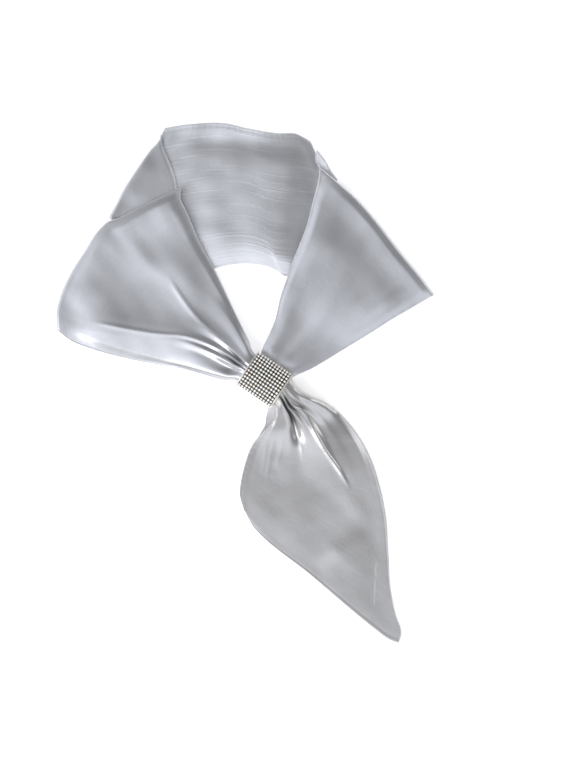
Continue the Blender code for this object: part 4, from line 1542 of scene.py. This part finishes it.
LEFT_FRONT = Stretch(
    near_end=[ring_point(-SEAM_GAP / 2, w) for w in (-BUNDLE_HALF_WIDTH, 0.0, BUNDLE_HALF_WIDTH)],
    far_end=[
        (-58.6, 179.4, 6.8), (-78.7, 170.3, 6.8), (-101.6, 159.0, 6.6), (-117.0, 151.5, 6.0),
        (-125.5, 148.5, 5.5), (-134.6, 140.6, 5.1), (-146.8, 122.0, 4.6), (-159.0, 103.0, 4.2),
        (-168.0, 84.5, 4.2), (-173.0, 66.0, 3.8), (-172.5, 49.5, 2.4),
    ],
    first_edge=[
        ring_point(-SEAM_GAP / 2, -BUNDLE_HALF_WIDTH), ring_point(-RING_LENGTH / 2, -BUNDLE_HALF_WIDTH),
        (2.0, 41.0, 11.0), (-6.4, 58.6, 7.5), (-15.6, 78.0, 5.4), (-29.3, 106.2, 4.4), (-43.0, 131.8, 4.4),
        (-53.1, 155.6, 5.2), (-59.5, 170.5, 6.4), (-58.6, 179.4, 6.8),
    ],
    second_edge=[
        ring_point(-SEAM_GAP / 2, BUNDLE_HALF_WIDTH), ring_point(-RING_LENGTH / 2, BUNDLE_HALF_WIDTH),
        (-20.1, 3.7, 10.4), (-37.5, 8.2, 6.4), (-55.8, 12.8, 3.2), (-78.7, 17.4, 1.4), (-103.5, 22.0, 0.7),
        (-138.2, 31.1, 0.6), (-161.1, 40.3, 1.0), (-172.5, 49.5, 2.4),
    ],
    length=205.0,
    hidden=RING_LENGTH / 2,
)
LEFT_FRONT_GATHER = Gather(
    half_height=BUNDLE_HALF_HEIGHT,
    opens_over=26.0,
    pleat_start=14.0,
    pleats=table(
        Pleat,
        "at_ring far_off height reach",
        (0.00, 0.00, -1.0, 60.0),
        (0.10, 0.30, 1.4, 50.0),
        (0.26, 0.50, 0.6, 40.0),
        (0.37, 0.66, 0.8, 34.0),
        (0.44, 0.80, -1.7, 28.0),
        (0.50, 0.88, 1.6, 26.0),
        (0.545, 0.90, -1.3, 30.0),
        (0.60, 0.93, 2.0, 34.0),
        (0.70, 0.95, -1.7, 26.0),
        (0.90, 0.975, 1.2, 26.0),
        (1.00, 1.00, -1.0, 40.0),
    ),
)

RIGHT_FRONT = Stretch(
    near_end=under_ring_end(-1),
    far_end=[
        (67.7, 197.7, 6.8), (84.2, 184.0, 6.2), (98.9, 171.5, 4.8), (112.6, 157.0, 4.2),
        (124.8, 142.0, 4.2), (138.2, 124.5, 4.2), (151.1, 108.5, 4.2), (163.0, 94.0, 3.8),
        (172.4, 81.5, 2.2),
    ],
    first_edge=[
        under_ring_end(-1)[0], (13.6, 14.0, UNDER_RING_Z), (13.2, 26.0, 3.0), (15.5, 33.5, 4.2),
        (19.2, 41.5, 4.8), (26.5, 58.6, 5.2), (32.0, 81.5, 4.8), (38.5, 99.8, 4.4), (43.0, 112.6, 4.2),
        (54.9, 142.8, 4.2), (62.0, 170.0, 4.6), (65.9, 184.9, 6.0), (67.7, 197.7, 6.8),
    ],
    second_edge=[
        under_ring_end(-1)[2], (42.6, 6.0, UNDER_RING_Z), (48.0, 8.8, 2.6), (57.7, 12.8, 2.2),
        (73.2, 21.5, 1.4), (88.8, 31.1, 0.9), (103.5, 40.0, 0.6), (119.0, 49.6, 0.6), (132.7, 58.4, 0.6),
        (149.0, 67.9, 0.6), (162.0, 75.5, 1.0), (172.4, 81.5, 2.2),
    ],
    length=180.0,
    hidden=RING_LENGTH / 2,
)
RIGHT_FRONT_GATHER = Gather(
    half_height=0.5 * UNDER_RING_HALF_HEIGHT,
    opens_over=30.0,
    pleat_start=18.0,
    pleats=table(
        Pleat,
        "at_ring far_off height reach",
        (0.00, 0.00, -0.4, 60.0),
        (0.18, 0.20, 1.2, 60.0),
        (0.40, 0.42, -0.4, 50.0),
        (0.60, 0.60, 1.4, 60.0),
        (0.80, 0.80, 0.2, 50.0),
        (1.00, 1.00, -0.2, 40.0),
    ),
)

FRONT_TAIL = Stretch(
    near_end=[ring_point(SEAM_GAP / 2, w) for w in (BUNDLE_HALF_WIDTH, 0.0, -BUNDLE_HALF_WIDTH)],
    far_end=[
        (-1.8, -115.4, 1.3), (7.5, -131.5, 1.3), (18.3, -142.8, 1.3), (29.3, -152.0, 1.3),
        (54.0, -170.8, 1.3), (75.1, -188.6, 1.2), (96.1, -206.6, 1.0), (119.0, -225.2, 0.7),
        (130.5, -233.6, 0.6), (139.6, -237.2, 0.6),
    ],
    first_edge=[
        ring_point(SEAM_GAP / 2, BUNDLE_HALF_WIDTH), ring_point(RING_LENGTH / 2, BUNDLE_HALF_WIDTH),
        (27.0, -28.0, 11.4), (22.9, -37.0, 7.0), (14.6, -45.1, 3.6), (7.7, -52.6, 2.1), (3.0, -61.0, 1.6),
        (0.0, -69.6, 1.4), (-4.4, -87.0, 1.3), (-5.8, -101.0, 1.3), (-1.8, -115.4, 1.3),
    ],
    second_edge=[
        ring_point(SEAM_GAP / 2, -BUNDLE_HALF_WIDTH), ring_point(RING_LENGTH / 2, -BUNDLE_HALF_WIDTH),
        (47.6, -2.8, 11.6), (57.0, -9.8, 8.0), (69.4, -15.2, 5.4), (82.4, -23.8, 3.4), (92.0, -33.2, 2.2),
        (105.3, -51.0, 2.2), (115.0, -70.0, 2.6), (122.6, -94.0, 2.4), (128.2, -122.0, 1.3),
        (130.4, -155.0, 0.6), (132.7, -188.6, 0.6), (137.0, -210.0, 0.6), (142.2, -229.0, 0.6),
        (139.6, -237.2, 0.6),
    ],
    length=200.0,
    hidden=RING_LENGTH / 2,
)
FRONT_TAIL_GATHER = Gather(
    half_height=BUNDLE_HALF_HEIGHT,
    opens_over=26.0,
    pleat_start=14.0,
    pleats=table(
        Pleat,
        "at_ring far_off height reach",
        (0.00, 0.00, -1.0, 40.0),
        (0.10, 0.07, 0.8, 30.0),
        (0.28, 0.36, 2.2, 26.0),
        (0.34, 0.46, -4.2, 28.0),
        (0.40, 0.56, 2.4, 24.0),
        (0.47, 0.72, -1.0, 24.0),
        (0.52, 0.90, 3.2, 20.0),
        (0.575, 0.94, -2.6, 32.0),
        (0.72, 0.965, -0.8, 30.0),
        (0.88, 0.985, 0.4, 40.0),
        (1.00, 1.00, -1.0, 30.0),
    ),
)

BACK_TAIL = Stretch(
    near_end=under_ring_end(1),
    far_end=[
        (6.0, -112.0, 0.6), (20.0, -128.0, 0.6), (45.0, -147.5, 0.6), (70.0, -167.5, 0.6),
        (95.0, -187.5, 0.6), (118.0, -205.0, 0.6),
    ],
    first_edge=[
        under_ring_end(1)[0], (16.8, -13.0, UNDER_RING_Z), (19.6, -23.5, 1.8), (18.2, -31.1, 1.4),
        (17.4, -37.0, 1.1), (13.4, -44.5, 0.9), (9.0, -52.0, 0.7), (8.0, -62.0, 0.6), (5.0, -76.0, 0.6),
        (2.6, -90.0, 0.6), (2.4, -101.0, 0.6), (6.0, -112.0, 0.6),
    ],
    second_edge=[
        under_ring_end(1)[2], (43.0, -5.0, UNDER_RING_Z), (51.0, -13.5, 1.7), (63.0, -22.0, 1.2),
        (76.0, -32.0, 0.8), (88.0, -44.5, 0.6), (99.0, -62.0, 0.6), (107.0, -82.0, 0.6),
        (113.0, -103.0, 0.6), (118.0, -132.0, 0.6), (120.0, -168.0, 0.6), (118.0, -205.0, 0.6),
    ],
    length=170.0,
    hidden=RING_LENGTH / 2,
)
BACK_TAIL_GATHER = Gather(
    half_height=UNDER_RING_HALF_HEIGHT,
    opens_over=24.0,
    pleat_start=18.0,
    pleats=table(
        Pleat,
        "at_ring far_off height reach",
        (0.00, 0.00, 0.0, 30.0),
        (0.25, 0.25, 0.5, 30.0),
        (0.50, 0.50, -0.4, 30.0),
        (0.75, 0.75, 0.5, 30.0),
        (1.00, 1.00, 0.0, 30.0),
    ),
)


BACK_CREASES = table(
    Crease,
    "left right height rounding fade_in fade_out path",
    (14.0, 46.0, 4.2, 5.0, 0.2, 0.15, [(36.6, 223.4), (34.8, 186.8), (31.1, 145.6), (26.5, 99.8)]),
    (6.0, 36.0, 0.3, 3.0, 0.15, 0.25, [(-87.9, 219.4), (-37.5, 214.9), (3.7, 213.1), (40.3, 205.7)]),
    (30.0, 13.0, 0.9, 3.0, 0.25, 0.25, [(-45.8, 131.8), (-14.6, 133.7), (17.4, 131.8), (42.1, 126.3)]),
)
LEFT_FRONT_CREASES = table(
    Crease,
    "left right height rounding fade_in fade_out path",
    (22.0, 12.0, 2.2, 3.0, 0.35, 0.3, [
        (-104.4, 155.6), (-126.3, 131.8), (-140.1, 104.4), (-148.3, 76.9), (-152.0, 54.0),
    ]),
    (19.0, 24.0, 3.6, 1.8, 0.2, 0.35, [
        (-157.5, 62.3), (-138.2, 55.8), (-115.4, 51.3), (-87.9, 47.6), (-51.3, 43.0), (-28.4, 33.0),
        (-5.5, 20.1),
    ]),
    (1.6, 1.8, 0.5, 0.5, 0.2, 0.3, [
        (-142.8, 57.7), (-122.7, 53.1), (-87.9, 46.7), (-51.3, 42.1), (-28.4, 32.0), (-7.3, 21.1),
    ]),
    (6.0, 24.0, 1.6, 3.0, 0.3, 0.3, [(-126.3, 142.8), (-92.5, 157.5), (-60.4, 170.3)]),
    (3.0, 15.0, 1.5, 1.5, 0.2, 0.4, [(-50.4, 163.0), (-33.0, 124.5), (-16.5, 86.1), (-2.7, 49.4)]),
    (14.0, 30.0, 2.3, 5.0, 0.5, 0.45, [
        (-69.6, 141.0), (-65.9, 119.0), (-58.6, 98.0), (-49.4, 78.7), (-36.6, 59.5),
    ]),
    (9.0, 8.0, 0.45, 1.4, 0.35, 0.5, [(-60.4, 90.6), (-49.4, 69.6), (-34.8, 51.3), (-11.0, 33.9)]),
    (1.8, 2.2, 0.4, 0.6, 0.3, 0.5, [
        (-73.2, 102.5), (-58.6, 78.7), (-45.8, 62.3), (-31.1, 48.5), (-12.8, 35.7),
    ]),
    (9.0, 15.0, 1.5, 1.0, 0.4, 0.2, [(-74.2, 24.7), (-51.3, 23.8), (-31.1, 21.1), (-7.3, 15.6)]),
    (9.0, 10.0, 0.6, 2.0, 0.12, 0.35, [
        (-122.7, 136.4), (-110.8, 127.3), (-98.9, 117.2), (-88.8, 106.2), (-81.5, 93.4),
    ]),
)
LEFT_TURN_CREASES = table(
    Crease,
    "left right height rounding fade_in fade_out path",
    (16.0, 12.0, 1.0, 2.5, 0.3, 0.3, [(-89.7, 214.2), (-104.4, 188.6), (-115.4, 163.9)]),
)
RIGHT_FRONT_CREASES = table(
    Crease,
    "left right height rounding fade_in fade_out path",
    (28.0, 16.0, 1.2, 4.0, 0.3, 0.35, [(67.7, 182.2), (61.3, 154.7), (54.9, 127.3), (53.1, 104.4)]),
    (60.0, 36.0, 3.6, 4.0, 0.5, 0.3, [
        (60.4, 168.5), (75.1, 127.3), (80.6, 90.6), (76.9, 60.4), (69.6, 34.8),
    ]),
    (3.0, 17.0, 2.5, 1.5, 0.25, 0.45, [(84.2, 208.7), (104.4, 186.8), (127.3, 163.0), (149.2, 133.7)]),
    (3.0, 4.5, 0.6, 1.5, 0.5, 0.5, [(106.2, 56.8), (120.8, 68.7), (135.5, 81.5), (148.3, 91.5)]),
)
FRONT_TAIL_CREASES = table(
    Crease,
    "left right height rounding fade_in fade_out path",
    (21.0, 15.0, 2.7, 0.8, 0.12, 0.45, [(36.6, -8.2), (56.8, -33.9), (74.2, -63.2), (84.2, -78.7)]),
    (1.0, 1.6, 0.9, 0.35, 0.1, 0.25, [
        (37.5, -9.2), (56.8, -33.9), (74.2, -63.2), (86.1, -79.6), (96.1, -98.0),
    ]),
    (2.5, 11.0, 3.4, 0.8, 0.3, 0.3, [(48.5, -7.3), (61.3, -11.0), (77.8, -17.4), (89.7, -26.5)]),
    (8.0, 20.0, -1.3, 3.0, 0.2, 0.4, [
        (54.9, -14.6), (74.2, -25.6), (91.5, -42.1), (102.5, -65.9), (106.2, -86.1),
    ]),
    (42.0, 16.0, -1.1, 3.0, 0.3, 0.5, [(53.1, -42.1), (54.0, -65.0), (52.2, -92.5), (49.4, -124.5)]),
    (1.8, 2.4, 0.5, 0.8, 0.4, 0.3, [(29.3, -12.8), (35.7, -26.5), (40.3, -40.3)]),
    (3.4, 3.4, -2.4, 0.8, 0.2, 0.3, [(32.0, -14.6), (43.9, -38.5), (50.4, -58.6)]),
    (1.4, 1.4, 0.25, 0.5, 0.3, 0.4, [(43.9, -31.1), (49.4, -51.3), (53.1, -75.1)]),
    (1.8, 1.8, 0.15, 0.8, 0.3, 0.3, [(20.1, -47.6), (17.4, -67.7), (14.6, -87.9)]),
    (1.6, 1.6, 0.2, 0.8, 0.3, 0.3, [(26.5, -45.8), (22.0, -67.7), (18.3, -91.5)]),
    (1.6, 1.6, 0.12, 0.8, 0.3, 0.3, [(33.9, -43.9), (32.0, -60.4), (26.5, -78.7)]),
    (9.0, 8.0, 0.5, 2.0, 0.4, 0.4, [(87.9, -84.2), (95.2, -102.5), (104.4, -119.0), (111.7, -133.7)]),
    (6.5, 7.5, 1.5, 2.0, 0.4, 0.7, [(64.1, -168.5), (78.7, -157.5), (95.2, -142.8), (117.2, -124.5)]),
)


@dataclass
class Neckerchief:
    """The whole strip, stretch by stretch."""

    stretches: Sequence[Cloth] = field(
        default_factory=lambda: [
            BackBand(
                "back_band",
                BACK,
                SATIN_INSIDE,
                Hold.LAID,
                cut_length=300.0,
                cut_share=0.78,
                creases=BACK_CREASES,
                wave_size=0.2,
                seed=3,
            ),
            FoldedCloth(
                "left_turn",
                LEFT_TURN,
                SATIN,
                Hold.FOLDED,
                cut_width=75.0,
                cut_length=60.0,
                cut_share=0.65,
                roll=Roll(
                    radius=3.0, rise=2.0, fade=0.5,
                    floor=((0.0, 2.4), (0.25, 2.2), (0.4, 0.9), (1.0, 0.9)),
                ),
                rests_on=["back_band_cloth"],
                creases=LEFT_TURN_CREASES,
                domes=[Dome(middle=(-96.1, 168.5), spread=(15.0, 16.0), height=1.3)],
                from_corner=0.06,
                end_reach=FOLD_HIGHLIGHT_REACH,
                seed=5,
            ),
            FoldedCloth(
                "right_turn",
                RIGHT_TURN,
                SATIN,
                Hold.FOLDED,
                cut_width=36.0,
                cut_length=16.0,
                cut_share=0.75,
                roll=Roll(radius=1.8, rise=0.9, fade=0.4, floor=((0.0, 2.2), (0.4, 2.1), (1.0, 2.0))),
                rests_on=["back_band_cloth"],
                from_corner=0.10,
                rows=30,
                columns=50,
                end_reach=FOLD_HIGHLIGHT_REACH,
                seed=6,
            ),
            GatheredCloth(
                "left_front",
                LEFT_FRONT,
                SATIN,
                Hold.GATHERED,
                cut_length=215.0,
                cut_share=0.95,
                rests_on=["back_band_cloth", "left_turn_cloth"],
                creases=LEFT_FRONT_CREASES,
                domes=[Dome(middle=(-56.8, 164.8), spread=(18.0, 20.0), height=1.9)],
                roll=Roll(
                    radius=2.8, rise=2.8, fade=0.5,
                    floor=((0.0, 4.9), (0.36, 4.7), (0.5, 1.4), (0.56, 0.6), (1.0, 0.6)),
                ),
                rows=180,
                columns=130,
                gather=LEFT_FRONT_GATHER,
                end_reach=FOLD_HIGHLIGHT_REACH,
                seed=11,
            ),
            GatheredCloth(
                "right_front",
                RIGHT_FRONT,
                SATIN,
                Hold.GATHERED,
                cut_length=190.0,
                cut_share=0.9,
                rests_on=["back_band_cloth", "right_turn_cloth"],
                creases=RIGHT_FRONT_CREASES,
                roll=Roll(
                    radius=2.4, rise=3.6, fade=0.7,
                    floor=((0.0, 5.2), (0.17, 5.0), (0.25, 1.2), (0.3, 0.6), (1.0, 0.6)),
                ),
                rows=160,
                columns=130,
                gather=RIGHT_FRONT_GATHER,
                clear_of_ring=6.0,
                end_reach=FOLD_HIGHLIGHT_REACH,
                seed=12,
            ),
            GatheredCloth(
                "front_tail",
                FRONT_TAIL,
                SATIN_TAILS_SHADED,
                Hold.GATHERED,
                cut_length=290.0,
                cut_share=0.75,
                rests_on=["back_tail_cloth"],
                creases=FRONT_TAIL_CREASES,
                domes=[Dome(middle=(23.8, -67.7), spread=(28.0, 32.0), height=-1.0)],
                rows=200,
                columns=140,
                gather=FRONT_TAIL_GATHER,
                has_fold=False,
                middle_lift=0.3,
                seed=13,
            ),
            GatheredCloth(
                "back_tail",
                BACK_TAIL,
                SATIN_TAILS_SHADED,
                Hold.GATHERED,
                cut_length=200.0,
                cut_share=0.75,
                rows=110,
                columns=80,
                gather=BACK_TAIL_GATHER,
                has_fold=False,
                wave_size=0.0,
                seed=14,
            ),
        ]
    )

    def build(self, shift: Vector) -> None:
        """Makes every stretch.

        Args:
            shift: from the tables' origin to the frame's, in metres.
        """
        for stretch in self.stretches:
            stretch.build(shift)


def frame_shift() -> Vector:
    """From the tables' origin to the frame's, in metres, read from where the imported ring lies."""
    low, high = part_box("stone_band")
    x, y = ((low[i] + high[i]) / 2 - RING_CENTRE[i] * MM for i in (0, 1))
    return Vector((x, y, 0.0))


def main() -> None:
    """Builds the neckerchief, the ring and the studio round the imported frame."""
    logging.basicConfig(level=logging.INFO)
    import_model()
    shift = frame_shift()
    Neckerchief().build(shift)
    ring = ScarfRing(
        metal=MetalFinish(
            "ring_plate", "ring_metal", (0.97, 0.93, 0.85), (0.84, 0.79, 0.70), roughness=0.25, metallic=0.45
        ),
        # The stones' backing is near-black: painted shade for the gaps between the stones.
        backing=MetalFinish(
            "stone_backing", "ring_metal", (0.09, 0.083, 0.07), (0.04, 0.036, 0.03), roughness=0.4
        ),
        stones=StoneFinish("cut_stones", "ring_stones", (0.96, 0.96, 0.95), (0.86, 0.82, 0.74)),
    )
    ring.build(shift)
    Studio(TableFinish("pale_table", (0.92, 0.92, 0.92))).build(shift)
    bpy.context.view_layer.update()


if __name__ == "__main__":
    main()
